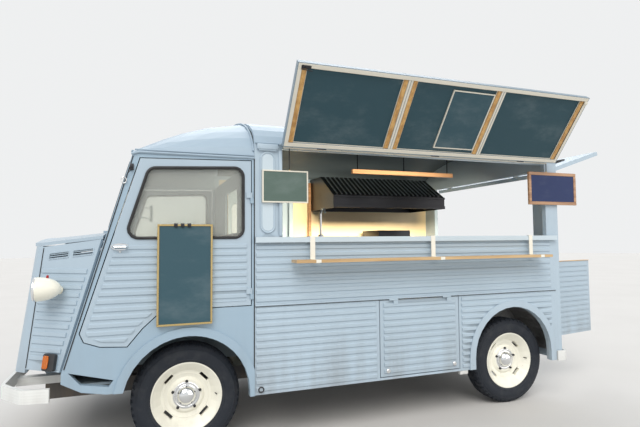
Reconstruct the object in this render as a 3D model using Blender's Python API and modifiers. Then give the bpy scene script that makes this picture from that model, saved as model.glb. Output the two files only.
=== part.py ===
# A front-wheel-drive ribbed-steel van of the late 1940s to 1970s, fitted out as a food truck.
# Built in metres with +Z up. The front axle is at x = 0 and the nose points to -X, so the
# serving hatch in the left wall faces -Y. A root empty then puts the middle of the whole
# object's footprint at the origin.

import math

import bmesh
import bpy
from mathutils import Matrix, Vector

# Whole vehicle
WHEELBASE = 2.53
HALF_WIDTH = 0.99
WALL = 0.04
GAP = 0.0003
DOOR_GAP = 0.006
SILL_Z = 0.33
WAIST_Z = 0.90
COUNTER_Z = 1.345
COUNTER_SHEET = 0.0367
EAVES_Z = 1.965
ROOF_RISE = 0.275
GUTTER_Z = 1.865
CAB_ROOF_RISE = 0.388
SCREEN_HEAD_RISE = 0.045
ROOF_SHEET = 0.025
CAB_REAR_X = 0.41
BODY_REAR_X = WHEELBASE + 0.415

# Wheels and their arches: an arch is (x, z, radius)
WHEEL_INSET = 0.175
TRACK_HALF = HALF_WIDTH - WHEEL_INSET
TYRE_RADIUS = 0.335
TYRE_HALF_WIDTH = 0.083
RIM_RADIUS = 0.2175
BEAD_RADIUS = 0.2048
BEAD_HALF_WIDTH = 0.0632
ROUND_STEPS = 24
KINGPIN_Y = TRACK_HALF - 0.08
AXLE_RADIUS = 0.028
ARM_Z = (0.217, 0.430)
ARM_THICKNESS = 0.024
FRONT_ARCH = (0.0, 0.36, 0.38)
REAR_ARCH = (WHEELBASE - 0.04, 0.41, 0.372)
ARCH_STEPS = 16
FLARE_WIDTH = 0.052
FLARE_PROUD = 0.012
HOUSING_SHEET = 0.015
HOUSING_CLEARANCE = 0.05
HOUSING_Y = TRACK_HALF - 0.29
REAR_TUBE_X = WHEELBASE - 0.41
TRAILING_ARM_Y = (TRACK_HALF - 0.255, TRACK_HALF - 0.20)

# Ribs pressed in the panels
RIB_PITCH = 0.046
RIB_HEIGHT = 0.007
RIB_MARGIN = 0.03

# Cab and nose
PILLAR_TOP = (-0.335, GUTTER_Z)
PILLAR_FOOT = (-0.70, 0.575)
VALANCE_Z = 0.437
COWL_Z = 1.355
SCREEN_FRAME = 0.03
CAB_FLOOR_Z = 0.50
CAB_FLOOR_SHEET = 0.015
NOSE_FLOOR_Z = 0.56
NOSE_TOP_Z = 1.298
NOSE_SHEET = 0.02
NOSE_FRONT_X = (-0.98, -0.90)
NOSE_CORNER_RADIUS = 0.09
NOSE_FOOT_Y = HALF_WIDTH - 0.02
BONNET_SHEET = 0.02
BONNET_CROWN = 0.035
GRILLE_HALF = 0.30
GRILLE_Z = (0.64, 1.20)
GRILLE_SLATS = 9
CAB_DOOR_THICKNESS = 0.036
HEADLAMP = (-0.787, HALF_WIDTH - 0.06, 1.053)
MIRROR_REACH = 0.20
MIRROR_Z = (1.52, 1.69)
MIRROR_X = -0.20

# Serving hatch, flap and shelf
HATCH_FRONT_X = 0.60
HATCH_REAR_X = BODY_REAR_X - 0.085
HATCH_TOP_Z = 1.935
FLAP_STANDOFF = 0.034
FLAP_DEPTH = 0.036
FLAP_SKIN = 0.008
FLAP_FOOT_Z = 1.385
FLAP_HEAD_Z = 1.945
FLAP_HINGE_Z = 1.95
FLAP_FRONT_X = 0.575
FLAP_REAR_X = BODY_REAR_X - 0.07
FLAP_RIM = 0.03
BOARD_SHEET = 0.012
FLAP_OPEN_DEG = 142.0
HEADER_RAIL_Z = (1.957, 1.982)
COUNTER_LIP_Y = -(HALF_WIDTH + 0.032)
COUNTER_INNER_Y = -(HALF_WIDTH - 0.44)
SHELF_Z = 1.175
SHELF_THICKNESS = 0.02
SHELF_DEPTH = 0.12
SHELF_FRONT_X = 0.65
SHELF_REAR_X = HATCH_REAR_X - 0.10
STRAP_THICKNESS = 0.004
STRAP_WIDTH = 0.035
STRAP_XS = (SHELF_FRONT_X + 0.15, (SHELF_FRONT_X + SHELF_REAR_X) / 2 + 0.04, SHELF_REAR_X - 0.10)

# Locker door in the left flank
LOCKER_WIDTH = 0.662
LOCKER_REAR_X = REAR_ARCH[0] - REAR_ARCH[2] - 0.142
LOCKER_FRONT_X = LOCKER_REAR_X - LOCKER_WIDTH
LOCKER_FOOT_Z = 0.352
LOCKER_HEAD_Z = 0.888

# Rear doorway
REAR_FRAME_X = BODY_REAR_X + 0.04
DOORWAY_HALF = 0.76
DOORWAY_FLOOR_Z = 0.44
DOORWAY_SPLIT_Z = 1.115
DOORWAY_TOP_Z = 1.90
REAR_DOOR_OPEN_DEG = 80.0
TAILGATE_OPEN_DEG = 108.0

# Sliding door on the right
SIDE_DOOR_FRONT_X = 0.48
SIDE_DOOR_REAR_X = 1.22
SIDE_DOOR_SHEET = 0.028
SIDE_DOOR_OVERLAP = 0.02
SIDE_DOOR_STANDOFF = 0.012
SIDE_DOOR_FOOT_Z = 0.40
SIDE_DOOR_HEAD_Z = 1.86
SIDE_DOOR_TRAVEL = 0.76

# Floor and chassis
FLOOR_TOP_Z = 0.43
FLOOR_SHEET = 0.03
AISLE_PANEL = 0.004
RAIL_Z = 0.30
RAIL_HEIGHT = 0.0997
RAIL_Y = (TRACK_HALF - 0.415, TRACK_HALF - 0.345)
CHASSIS_FRONT_X = -0.86

# Bumpers
BUMPER_FRONT_X = -1.04
BUMPER_Z = 0.42
BUMPER_HEIGHT = 0.078
BUMPER_SHEET = 0.02
REAR_BUMPER_Z = 0.325

# Driver's place and kitchen
DRIVER_Y = -0.42
ENGINE_COVER_TOP = ((-0.625, 0.798), (0.33, 0.915))
FIREWALL_SHEET = 0.016
STEERING_WHEEL = (-0.15, DRIVER_Y, 1.13)
STEERING_WHEEL_RADIUS = 0.20
HUB_DEPTH = 0.0275
COLUMN_FOOT = (-0.50, DRIVER_Y, CAB_FLOOR_Z + 0.012)
HOOD_X = (1.46, BODY_REAR_X - 0.215)
HOOD_Y = HALF_WIDTH - 0.74
HOOD_TOP_Y = HALF_WIDTH - 0.37
HOOD_Z = (1.64, 1.985)
KITCHEN_Y = HALF_WIDTH - 0.59
KITCHEN_Z = 1.28

LEFT = -1
RIGHT = 1

# Hinges: the axis's letter, the axis's two other coordinates, the middle of each hinge along it,
# and the corners of the fixed and of the moving leaf, measured from the axis. Y is outwards.
HINGE_LENGTH = 0.035
HINGE_RADIUS = 0.007
HINGE_OUT = HINGE_RADIUS + 0.0006
LEAF = (-HINGE_OUT - 0.0015, 0.003)
FLAP_HINGE_Y = HALF_WIDTH + FLAP_STANDOFF + FLAP_DEPTH
HINGES = {
    "cab_door": ("Z", (CAB_REAR_X - 0.023, HALF_WIDTH + HINGE_OUT), (0.98, 1.60), HINGE_RADIUS,
                 ((0, LEAF[0]), (0.016, LEAF[1])), ((-0.032, LEAF[0]), (0, LEAF[1]))),
    "rear_door": ("Z", (REAR_FRAME_X + HINGE_OUT, DOORWAY_HALF), (0.56, 0.98), HINGE_RADIUS,
                  ((LEAF[0], 0), (LEAF[1], 0.03)), ((LEAF[0], -0.034), (LEAF[1], -GAP))),
    "tailgate": ("Y", (REAR_FRAME_X + HINGE_OUT, DOORWAY_TOP_Z), (-0.52, 0.52), HINGE_RADIUS,
                 ((LEAF[0], 0), (LEAF[1], 0.03)), ((LEAF[0], -0.034), (LEAF[1], -GAP))),
    "locker": ("X", (HALF_WIDTH + HINGE_OUT, LOCKER_HEAD_Z + 0.003),
               (LOCKER_FRONT_X + 0.106, LOCKER_REAR_X - 0.106), HINGE_RADIUS,
               ((LEAF[0], 0), (LEAF[1], 0.008)), ((LEAF[0], -0.034), (LEAF[1], 0))),
    "flap": ("X", (FLAP_HINGE_Y, FLAP_HINGE_Z),
             (FLAP_FRONT_X + 0.13, (FLAP_FRONT_X + FLAP_REAR_X) / 2, FLAP_REAR_X - 0.10), 0.0045,
             ((-0.0085, -0.001), (-0.0005, 0.010)), ((-0.0085, -0.012), (-0.0005, 0.001))),
    "bonnet": ("Y", (-0.486, 1.392), (-0.60, 0.60), 0.006,
               ((0, -0.003), (0.022, 0.003)), ((-0.034, -0.018), (0, 0.003))),
}

# Colour, roughness and metallic value of each finish
PAINTS = {
    "body_blue": ((0.42, 0.53, 0.60), 0.40, 0.0),
    "cream": ((0.83, 0.80, 0.70), 0.40, 0.0),
    "white": ((0.86, 0.87, 0.83), 0.45, 0.0),
    "tyre": ((0.02, 0.022, 0.03), 0.85, 0.0),
    "glass": ((0.75, 0.82, 0.82), 0.05, 0.0),
    "dark": ((0.03, 0.035, 0.04), 0.60, 0.2),
    "under": ((0.06, 0.06, 0.065), 0.70, 0.3),
    "steel": ((0.60, 0.61, 0.62), 0.32, 1.0),
    "wood": ((0.52, 0.30, 0.13), 0.55, 0.0),
    "slate": ((0.06, 0.13, 0.16), 0.70, 0.0),
    "vinyl": ((0.10, 0.08, 0.07), 0.55, 0.0),
}

for old in list(bpy.data.objects):
    bpy.data.objects.remove(old, do_unlink=True)

TRUCK = bpy.data.collections.new("food_truck")
bpy.context.scene.collection.children.link(TRUCK)
ROOT = bpy.data.objects.new("truck_origin", None)
TRUCK.objects.link(ROOT)


def paint(name):
    """The material of that name, made the first time it is asked for."""
    material = bpy.data.materials.get(name)
    if material is None:
        colour, roughness, metallic = PAINTS[name]
        material = bpy.data.materials.new(name)
        material.use_nodes = True
        shader = material.node_tree.nodes["Principled BSDF"]
        shader.inputs["Base Color"].default_value = (*colour, 1.0)
        shader.inputs["Roughness"].default_value = roughness
        shader.inputs["Metallic"].default_value = metallic
        material.diffuse_color = (*colour, 1.0)
    return material


def new_object(name, mesh, finish):
    """Link a mesh as an object of the truck, with its paint."""
    item = bpy.data.objects.new(name, mesh)
    TRUCK.objects.link(item)
    mesh.materials.clear()
    mesh.materials.append(paint(finish))
    return item


def from_bmesh(name, bm, finish):
    mesh = bpy.data.meshes.new(name)
    bm.to_mesh(mesh)
    bm.free()
    return new_object(name, mesh, finish)


def frozen(item):
    """Replace an object that has modifiers, or a curve, by its evaluated mesh in place."""
    bpy.context.view_layer.update()
    graph = bpy.context.evaluated_depsgraph_get()
    mesh = bpy.data.meshes.new_from_object(item.evaluated_get(graph))
    mesh.transform(item.matrix_world)
    bm = bmesh.new()
    bm.from_mesh(mesh)
    bmesh.ops.remove_doubles(bm, verts=bm.verts, dist=0.00001)
    if bm.calc_volume(signed=True) < 0:
        bmesh.ops.reverse_faces(bm, faces=bm.faces)
    bm.to_mesh(mesh)
    bm.free()
    name = item.name
    finish = item.data.materials[0].name
    bpy.data.objects.remove(item, do_unlink=True)
    return new_object(name, mesh, finish)


def combine(item, tool, operation):
    """Apply one exact Boolean of tool on item, and remove the tool."""
    change = item.modifiers.new(operation.lower(), "BOOLEAN")
    change.operation = operation
    change.solver = "EXACT"
    change.object = tool
    result = frozen(item)
    bpy.data.objects.remove(tool, do_unlink=True)
    return result


def cut(item, *tools):
    for tool in tools:
        item = combine(item, tool, "DIFFERENCE")
    return item


def join(item, *tools):
    for tool in tools:
        item = combine(item, tool, "UNION")
    return item


# How a flat outline's two coordinates and its thickness lie in the vehicle
PLANES = {
    "XZ": Matrix(((1, 0, 0), (0, 0, -1), (0, 1, 0))).to_4x4(),
    "XY": Matrix.Identity(4),
    "YZ": Matrix(((0, 0, 1), (1, 0, 0), (0, 1, 0))).to_4x4(),
}


def slab(name, plane, outline, start, end, finish="body_blue", holes=()):
    """A flat outline, given in one plane, as a solid between two places across that plane."""
    curve = bpy.data.curves.new(name, "CURVE")
    curve.dimensions = "2D"
    curve.fill_mode = "BOTH"
    curve.extrude = abs(end - start) / 2
    curve.materials.append(paint(finish))
    for loop in (outline, *holes):
        spline = curve.splines.new("POLY")
        spline.points.add(len(loop) - 1)
        for point, (u, v) in zip(spline.points, loop):
            point.co = (u, v, 0, 1)
        spline.use_cyclic_u = True
    item = bpy.data.objects.new(name, curve)
    TRUCK.objects.link(item)
    middle = (start + end) / 2
    lift = Matrix.Translation((0, 0, -middle if plane == "XZ" else middle))
    item.matrix_world = PLANES[plane] @ lift
    return frozen(item)


def box(name, first, second, finish="body_blue", bevel=0.0):
    """A block between two corners, from a cube, with its edges rounded if asked."""
    bm = bmesh.new()
    bmesh.ops.create_cube(bm, size=1.0)
    size = [abs(b - a) for a, b in zip(first, second)]
    bmesh.ops.scale(bm, vec=size, verts=bm.verts)
    bmesh.ops.translate(bm, vec=(Vector(first) + Vector(second)) / 2, verts=bm.verts)
    if bevel:
        bmesh.ops.bevel(
            bm, geom=bm.edges, offset=bevel, segments=2, profile=0.5, affect="EDGES", material=-1)
    return from_bmesh(name, bm, finish)


def rod(name, start, end, radius, finish, sides=12):
    """A round bar between two points, from a cylinder."""
    start, end = Vector(start), Vector(end)
    bm = bmesh.new()
    bmesh.ops.create_cone(
        bm, cap_ends=True, segments=sides, radius1=radius, radius2=radius, depth=(end - start).length)
    turn = (end - start).to_track_quat("Z", "Y").to_matrix().to_4x4()
    bmesh.ops.transform(bm, matrix=Matrix.Translation((start + end) / 2) @ turn, verts=bm.verts)
    return from_bmesh(name, bm, finish)


def tube(name, points, radius, finish):
    """A bent bar along points, from a curve with a round bevel and filled caps."""
    curve = bpy.data.curves.new(name, "CURVE")
    curve.dimensions = "3D"
    curve.bevel_depth = radius
    curve.bevel_resolution = 2
    curve.use_fill_caps = True
    curve.materials.append(paint(finish))
    spline = curve.splines.new("POLY")
    spline.points.add(len(points) - 1)
    for point, place in zip(spline.points, points):
        point.co = (*place, 1)
    item = bpy.data.objects.new(name, curve)
    TRUCK.objects.link(item)
    return frozen(item)


def turned(name, profile, finish, closed=True, steps=ROUND_STEPS):
    """A profile of radius and height points spun about the Z axis with a Screw modifier."""
    bm = bmesh.new()
    corners = [bm.verts.new((radius, 0, height)) for radius, height in profile]
    for first, second in zip(corners, corners[1:]):
        bm.edges.new((first, second))
    if closed:
        bm.edges.new((corners[-1], corners[0]))
    item = from_bmesh(name, bm, finish)
    spin = item.modifiers.new("spin", "SCREW")
    spin.steps = steps
    spin.render_steps = steps
    spin.use_merge_vertices = True
    spin.merge_threshold = 0.0001
    return frozen(item)


def lofted(name, rings, finish):
    """A closed solid through rings of points that each go once round its section."""
    bm = bmesh.new()
    rows = [[bm.verts.new(point) for point in ring] for ring in rings]
    for near, far in zip(rows, rows[1:]):
        for index in range(len(near)):
            after = (index + 1) % len(near)
            bm.faces.new((near[index], near[after], far[after], far[index]))
    bm.faces.new(rows[0])
    bm.faces.new(rows[-1])
    bmesh.ops.recalc_face_normals(bm, faces=bm.faces)
    return frozen(from_bmesh(name, bm, finish))


def placed(item, matrix):
    item.data.transform(matrix)
    if matrix.to_3x3().determinant() < 0:
        item.data.flip_normals()
    return item


def mirrored(item, name):
    """A copy of a piece on the other side of the vehicle's middle plane."""
    twin = new_object(name, item.data.copy(), item.data.materials[0].name)
    return placed(twin, Matrix.Scale(-1, 4, (0, 1, 0)))


def arc(centre, radius, start_deg, end_deg, steps):
    """Points along an arc, in the order given."""
    points = []
    for step in range(steps + 1):
        angle = math.radians(start_deg + (end_deg - start_deg) * step / steps)
        points.append((centre[0] + radius * math.cos(angle), centre[1] + radius * math.sin(angle)))
    return points


def grown(outline, amount):
    """An outline moved outwards by an amount, with its corners kept sharp."""
    ends = outline[1:] + outline[:1]
    area = sum(a[0] * b[1] - b[0] * a[1] for a, b in zip(outline, ends))
    sign = 1 if area > 0 else -1
    result = []
    for index, point in enumerate(outline):
        before = Vector(point) - Vector(outline[index - 1])
        after = Vector(ends[index]) - Vector(point)
        normal_before = sign * Vector((before.y, -before.x)).normalized()
        normal_after = sign * Vector((after.y, -after.x)).normalized()
        middle = (normal_before + normal_after).normalized()
        result.append(tuple(Vector(point) + middle * amount / middle.dot(normal_after)))
    return result


def rounded(outline, radius, steps=4, closed=True):
    """An outline with its corners rounded by arcs of that radius."""
    result = []
    for index, point in enumerate(outline):
        corner = Vector(point)
        if not closed and index in (0, len(outline) - 1):
            result.append(tuple(corner))
            continue
        before = (Vector(outline[index - 1]) - corner).normalized()
        after = (Vector(outline[(index + 1) % len(outline)]) - corner).normalized()
        half = before.angle(after) / 2
        centre = corner + (before + after).normalized() * radius / math.sin(half)
        first = corner + before * radius / math.tan(half) - centre
        last = corner + after * radius / math.tan(half) - centre
        for step in range(steps + 1):
            ray = first.lerp(last, step / steps).normalized() * radius
            result.append(tuple(centre + ray))
    return result


def rectangle(low, high):
    return [(low[0], low[1]), (high[0], low[1]), (high[0], high[1]), (low[0], high[1])]


def rib_profile(face, outward, low, high):
    """The stepped section of pressed ribs: across the wall, along the wall."""
    count = max(1, round((high - low) / RIB_PITCH))
    pitch = (high - low) / count
    root = face - outward * RIB_HEIGHT
    foot = face - outward * RIB_HEIGHT / 3
    crest = face + outward * RIB_HEIGHT
    profile = [(root, low), (foot, low)]
    # Where a rib's foot and crest lie in its pitch, and how far out each is
    steps = ((0.10, foot), (0.30, crest), (0.70, crest), (0.90, foot))
    for rib in range(count):
        profile += [(out, low + (rib + share) * pitch) for share, out in steps]
    return profile + [(foot, high), (root, high)]


def ribs(face, outward, x_low, x_high, z_low, z_high):
    return slab("ribs", "YZ", rib_profile(face, outward, z_low, z_high), x_low, x_high)


def across(face, outward, depth):
    """A wall's two faces, from its outer face inwards."""
    return face, face - outward * depth


def through(outline, face, outward, plane="XZ"):
    """A cutter that passes right through a wall at that face."""
    return slab("cutter", plane, outline, face + outward * 0.1, face - outward * 0.1)


def arch_cutter(arch, face, outward):
    """A wheel arch's opening: a half round over straight sides."""
    x, z, radius = arch
    outline = [(x - radius, 0.2)] + arc((x, z), radius, 180, 0, ARCH_STEPS) + [(x + radius, 0.2)]
    return through(outline, face, outward)


def arch_flare(arch, face, outward, feet):
    """The lip round a wheel arch, proud of the wall, down to its front and rear foot."""
    x, z, radius = arch
    outlines = []
    for reach in (radius, radius + FLARE_WIDTH):
        # A foot above the arch's centre ends the arc there, and one below it hangs straight down
        front, rear = [math.degrees(math.asin(max(0.0, foot - z) / reach)) for foot in feet]
        line = arc((x, z), reach, 180 - front, rear, ARCH_STEPS)
        if feet[0] < z:
            line = [(x - reach, feet[0])] + line
        if feet[1] < z:
            line = line + [(x + reach, feet[1])]
        outlines.append(line)
    outline = outlines[0] + outlines[1][::-1]
    return slab("flare", "XZ", outline, face + outward * FLARE_PROUD, face - outward * WALL / 2)


def pivot(name, place, parent=None):
    """An empty at a joint's axis, which the joint's pieces are parented to."""
    empty = bpy.data.objects.new(name, None)
    TRUCK.objects.link(empty)
    empty.parent = parent or ROOT
    empty.location = Vector(place) - (Vector(parent["place"]) if parent else Vector())
    empty["place"] = tuple(place)
    return empty


def carry(empty, *items):
    """Parent pieces that were modelled in place to an empty, keeping them where they are."""
    for item in items:
        item.data.transform(Matrix.Translation(-Vector(empty["place"])))
        item.parent = empty


def hinge_halves(kind, moving, side=RIGHT):
    """The fixed or the moving halves of a kind of hinge, each a barrel on the axis with its leaf."""
    letter, (u, v), middles, radius, fixed_leaf, moving_leaf = HINGES[kind]
    along = "XYZ".index(letter)
    others = [index for index in range(3) if index != along]
    leaf = moving_leaf if moving else fixed_leaf
    halves = []
    for middle in middles:
        span = (middle - HINGE_LENGTH, middle - GAP / 2)
        if moving:
            span = (middle + GAP / 2, middle + HINGE_LENGTH)
        ends = []
        corners = []
        for place, corner in zip(span, leaf):
            point, leaf_corner = [0, 0, 0], [0, 0, 0]
            coordinates = ((along, place, 0), (others[0], u, corner[0]), (others[1], v, corner[1]))
            for index, value, offset in coordinates:
                outward = side if index == 1 and letter != "Y" else 1
                point[index] = value * outward
                leaf_corner[index] = (value + offset) * outward
            ends.append(point)
            corners.append(leaf_corner)
        halves.append(join(rod("barrel", *ends, radius, "body_blue", 10), box("leaf", *corners)))
    return halves


def hinge_place(kind, side=RIGHT):
    """A point on a kind of hinge's axis, with the hinge's side of the vehicle."""
    letter, (u, v), middles = HINGES[kind][:3]
    return {"X": (middles[0], u * side, v), "Y": (u, 0, v), "Z": (u, v * side, middles[0])}[letter]


# Chassis, floor and running gear


def chassis():
    """A ladder frame with outriggers to the sills, the radiator, and the exhaust under it."""
    # Cross members and outriggers, by the x of each one's middle
    members = (CHASSIS_FRONT_X + 0.04, -0.62, 0.42, 1.20, REAR_TUBE_X, BODY_REAR_X - 0.085)
    outriggers = (0.50, 1.30, LOCKER_REAR_X + 0.004)
    half = 0.04
    top = RAIL_Z + RAIL_HEIGHT
    frame = box("chassis_frame", (CHASSIS_FRONT_X, -RAIL_Y[1], RAIL_Z), (BODY_REAR_X - 0.045, RAIL_Y[1], top),
                "under")
    for before, after in zip(members, members[1:]):
        frame = cut(frame, box("bay", (before + half, -RAIL_Y[0], RAIL_Z - 0.1),
                               (after - half, RAIL_Y[0], top + 0.1)))
    for x in outriggers:
        for side in (LEFT, RIGHT):
            frame = join(frame, box("outrigger", (x - 0.03, side * (RAIL_Y[1] - 0.01), RAIL_Z + 0.03),
                                    (x + 0.03, side * (HALF_WIDTH - WALL - GAP), top - 0.02), "under"))
    radiator = box("radiator", (CHASSIS_FRONT_X + 0.01, -0.27, top - 0.02),
                   (CHASSIS_FRONT_X + 0.07, 0.27, 1.12), "under")
    pipe_y, pipe_z = 0.14, RAIL_Z - 0.015
    # The tail pipe turns out to the right just ahead of the rear wheel housing
    tail_x = LOCKER_REAR_X + 0.054
    pipe = tube("pipe", [(0.36, pipe_y, pipe_z), (tail_x - 0.13, pipe_y, pipe_z),
                         (tail_x - 0.03, pipe_y + 0.10, pipe_z - 0.02), (tail_x, RAIL_Y[0], pipe_z - 0.035),
                         (tail_x, HALF_WIDTH - 0.06, pipe_z - 0.04)], 0.021, "under")
    silencer = rod("silencer", (tail_x - 0.78, pipe_y, pipe_z - 0.02), (tail_x - 0.23, pipe_y, pipe_z - 0.02),
                   0.07, "under", 16)
    return join(frame, radiator, pipe, silencer)


def housing_outline(arch, foot_z):
    """The outline in XZ of a round wheel housing's outside."""
    x, z, radius = arch
    outer = radius + HOUSING_CLEARANCE
    rise = math.degrees(math.asin((foot_z - z) / outer))
    return arc((x, z), outer, rise, 180 - rise, ARCH_STEPS)


def housing_hollow(arch, side, inner_y):
    """What is cut out of a wheel housing, open to the outside and below."""
    x, z, radius = arch
    inside = radius + HOUSING_CLEARANCE - HOUSING_SHEET
    outline = [(x + inside, 0.2)] + arc((x, z), inside, 0, 180, ARCH_STEPS) + [(x - inside, 0.2)]
    return slab("hollow", "XZ", outline, side * (inner_y + HOUSING_SHEET), side * (HALF_WIDTH + 0.1))


def with_housings(floor, arch, inner_y, floor_z):
    """Raise a round housing over each wheel of an axle, and open the floor under it."""
    for side in (LEFT, RIGHT):
        hump = slab("hump", "XZ", housing_outline(arch, floor_z - FLOOR_SHEET / 3),
                    side * inner_y, side * (HALF_WIDTH - WALL - GAP))
        floor = join(floor, hump)
        floor = cut(floor, housing_hollow(arch, side, inner_y))
    return floor


def load_floor():
    """The flat low floor with a housing over each rear wheel and a raised panel along the aisle."""
    edge = HALF_WIDTH - WALL - GAP
    floor = box("load_floor", (CAB_REAR_X + 0.045, -edge, FLOOR_TOP_Z - FLOOR_SHEET),
                (BODY_REAR_X - GAP, edge, FLOOR_TOP_Z), "steel")
    aisle = box("aisle", (CAB_REAR_X + 0.09, COUNTER_INNER_Y + 0.05, FLOOR_TOP_Z - FLOOR_SHEET / 2),
                (BODY_REAR_X - 0.05, KITCHEN_Y - 0.04, FLOOR_TOP_Z + AISLE_PANEL), "steel")
    floor = join(floor, aisle)
    return with_housings(floor, REAR_ARCH, HOUSING_Y + 0.08, FLOOR_TOP_Z)


def pillar_line_x(z):
    """The x of the windscreen pillar's front edge at a height."""
    share = (z - PILLAR_FOOT[1]) / (PILLAR_TOP[1] - PILLAR_FOOT[1])
    return PILLAR_FOOT[0] + share * (PILLAR_TOP[0] - PILLAR_FOOT[0])


def firewall_x(z):
    """The x of the firewall's front face at a height."""
    return pillar_line_x(z) + 0.006


def cover_top_z(x):
    """The height of the engine cover's sloping top."""
    front, rear = ENGINE_COVER_TOP
    return front[1] + (x - front[0]) * (rear[1] - front[1]) / (rear[0] - front[0])


def cab_tub():
    """Cab floor, front wheel housings, sloping firewall, engine cover and the bulkhead behind."""
    edge = HALF_WIDTH - WALL - GAP
    low = CAB_FLOOR_Z - CAB_FLOOR_SHEET
    rear_x = CAB_REAR_X + 0.03
    front_x = -0.655
    tub = box("cab_tub", (front_x, -edge, low), (rear_x - 0.006, edge, CAB_FLOOR_Z), "body_blue")
    tub = with_housings(tub, FRONT_ARCH, HOUSING_Y, CAB_FLOOR_Z)
    lean = [(front_x, low + 0.002)] + [(firewall_x(z), z) for z in (0.56, COWL_Z - 0.012)]
    lean += [(x + FIREWALL_SHEET, z) for x, z in reversed(lean)]
    firewall = slab("firewall", "XZ", lean, -edge, edge)
    doorway = rectangle((-0.30, CAB_FLOOR_Z + 0.005), (0.30, 1.74))
    wall = rectangle((-edge, low + 0.003), (edge, GUTTER_Z - 0.002))
    bulkhead = slab("bulkhead", "YZ", wall, rear_x - 0.02, rear_x, holes=[doorway])
    cover = slab("cover", "XZ", [(front_x + 0.004, low + 0.003), (0.37, low + 0.003), (0.37, 0.875),
                                 *reversed(ENGINE_COVER_TOP)], -0.265, 0.265)
    tub = join(tub, firewall, bulkhead, cover)
    # The cover's inside is open below and forwards, through the firewall
    inside = [(-0.80, 0.2), (0.355, 0.2), (0.355, 0.87), (0.324, 0.899), (-0.80, 0.761)]
    return cut(tub, slab("hollow", "XZ", inside, -0.25, 0.25))


def engine():
    """Engine and gearbox as one plain block on bearers, with the drive shafts."""
    bottom = RAIL_Z + RAIL_HEIGHT + GAP
    block = box("engine_block", (-0.56, -0.21, bottom - 0.06), (0.32, 0.21, 0.76), "under", 0.02)
    reach = RAIL_Y[1] - 0.02
    pieces = [box("bearer", (x - 0.04, -reach, bottom), (x + 0.04, reach, bottom + 0.03), "under")
              for x in (-0.40, 0.22)]
    for side in (LEFT, RIGHT):
        # The drive shaft runs down and out to the knuckle
        inner = (0, side * 0.15, TYRE_RADIUS + 0.14)
        outer = (0, side * (KINGPIN_Y - 0.08), TYRE_RADIUS + 0.05)
        pieces.append(rod("shaft", inner, outer, 0.014, "under", 10))
    return join(block, *pieces)


def tyre(name):
    # Half of the section, from the bead out to the tread: radius, distance from the middle
    half = [(BEAD_RADIUS, BEAD_HALF_WIDTH), (RIM_RADIUS + GAP, BEAD_HALF_WIDTH), (RIM_RADIUS + 0.004, 0.073),
            (0.268, TYRE_HALF_WIDTH), (0.314, 0.071), (TYRE_RADIUS, 0.050)]
    section = half + [(radius, -offset) for radius, offset in reversed(half)]
    return turned(name, section, "tyre")


def rim(name):
    """A pressed wheel: dished disc with four slots, stepped barrel and a domed hub cap."""
    barrel = BEAD_RADIUS - GAP
    seat = BEAD_HALF_WIDTH + GAP
    # Outer face from the middle out, then the inner face back: radius, height outwards
    face = [(0, 0.062), (0.036, 0.056), (0.056, 0.036), (0.058, 0.020), (0.098, 0.020), (0.116, 0.006),
            (0.158, 0.016), (0.186, 0.046), (RIM_RADIUS - 0.004, 0.072), (RIM_RADIUS, 0.069),
            (RIM_RADIUS, seat), (barrel, seat)]
    back = [(barrel, -seat), (RIM_RADIUS, -seat), (RIM_RADIUS - 0.003, -0.070), (0.190, -0.060),
            (0.180, 0.004), (0.152, -0.002), (0.110, -0.008), (0.098, 0.006), (0, 0.006)]
    item = turned(name, face + back, "cream", closed=False)
    slots = []
    for slot in range(4):
        cutter = box("slot", (0.146, -0.034, -0.05), (0.166, 0.034, 0.09))
        slots.append(placed(cutter, Matrix.Rotation(math.radians(45 + 90 * slot), 4, "Z")))
    return cut(item, *slots)


def wheels(carriers):
    """Four wheels with their tyres, each on its own axle pivot."""
    # Wheel: name, x of its axle, side of the vehicle
    table = (("front_left", 0.0, LEFT), ("front_right", 0.0, RIGHT), ("rear_left", WHEELBASE, LEFT),
             ("rear_right", WHEELBASE, RIGHT))
    for name, x, side in table:
        centre = (x, side * TRACK_HALF, TYRE_RADIUS)
        # A wheel is turned with its outer face at +Z, which goes to the outside of the vehicle
        place = Matrix.Translation(centre) @ Matrix.Rotation(math.radians(-90 * side), 4, "X")
        hub = pivot(f"hub_{name}", centre, carriers.get(name))
        carry(hub, placed(rim(f"wheel_{name}"), place), placed(tyre(f"tyre_{name}"), place))


def knuckle(name, side):
    """The upright that steers: a bar on the kingpin, a steering arm and the stub axle."""
    y_out, y_in = side * (KINGPIN_Y - 0.005), side * (KINGPIN_Y - 0.055)
    upright = box(name, (-0.03, y_in, ARM_Z[0] + ARM_THICKNESS + GAP), (0.03, y_out, ARM_Z[1] - GAP), "under")
    # The stub ends just inside the middle of the wheel's disc
    stub = rod("stub", (0, side * (KINGPIN_Y - 0.03), TYRE_RADIUS),
               (0, side * (TRACK_HALF + 0.006 - GAP), TYRE_RADIUS), AXLE_RADIUS, "under", 16)
    arm = box("arm", (0.0, y_in, 0.30), (0.15, y_in + side * 0.03, 0.33), "under")
    return join(upright, stub, arm)


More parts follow.
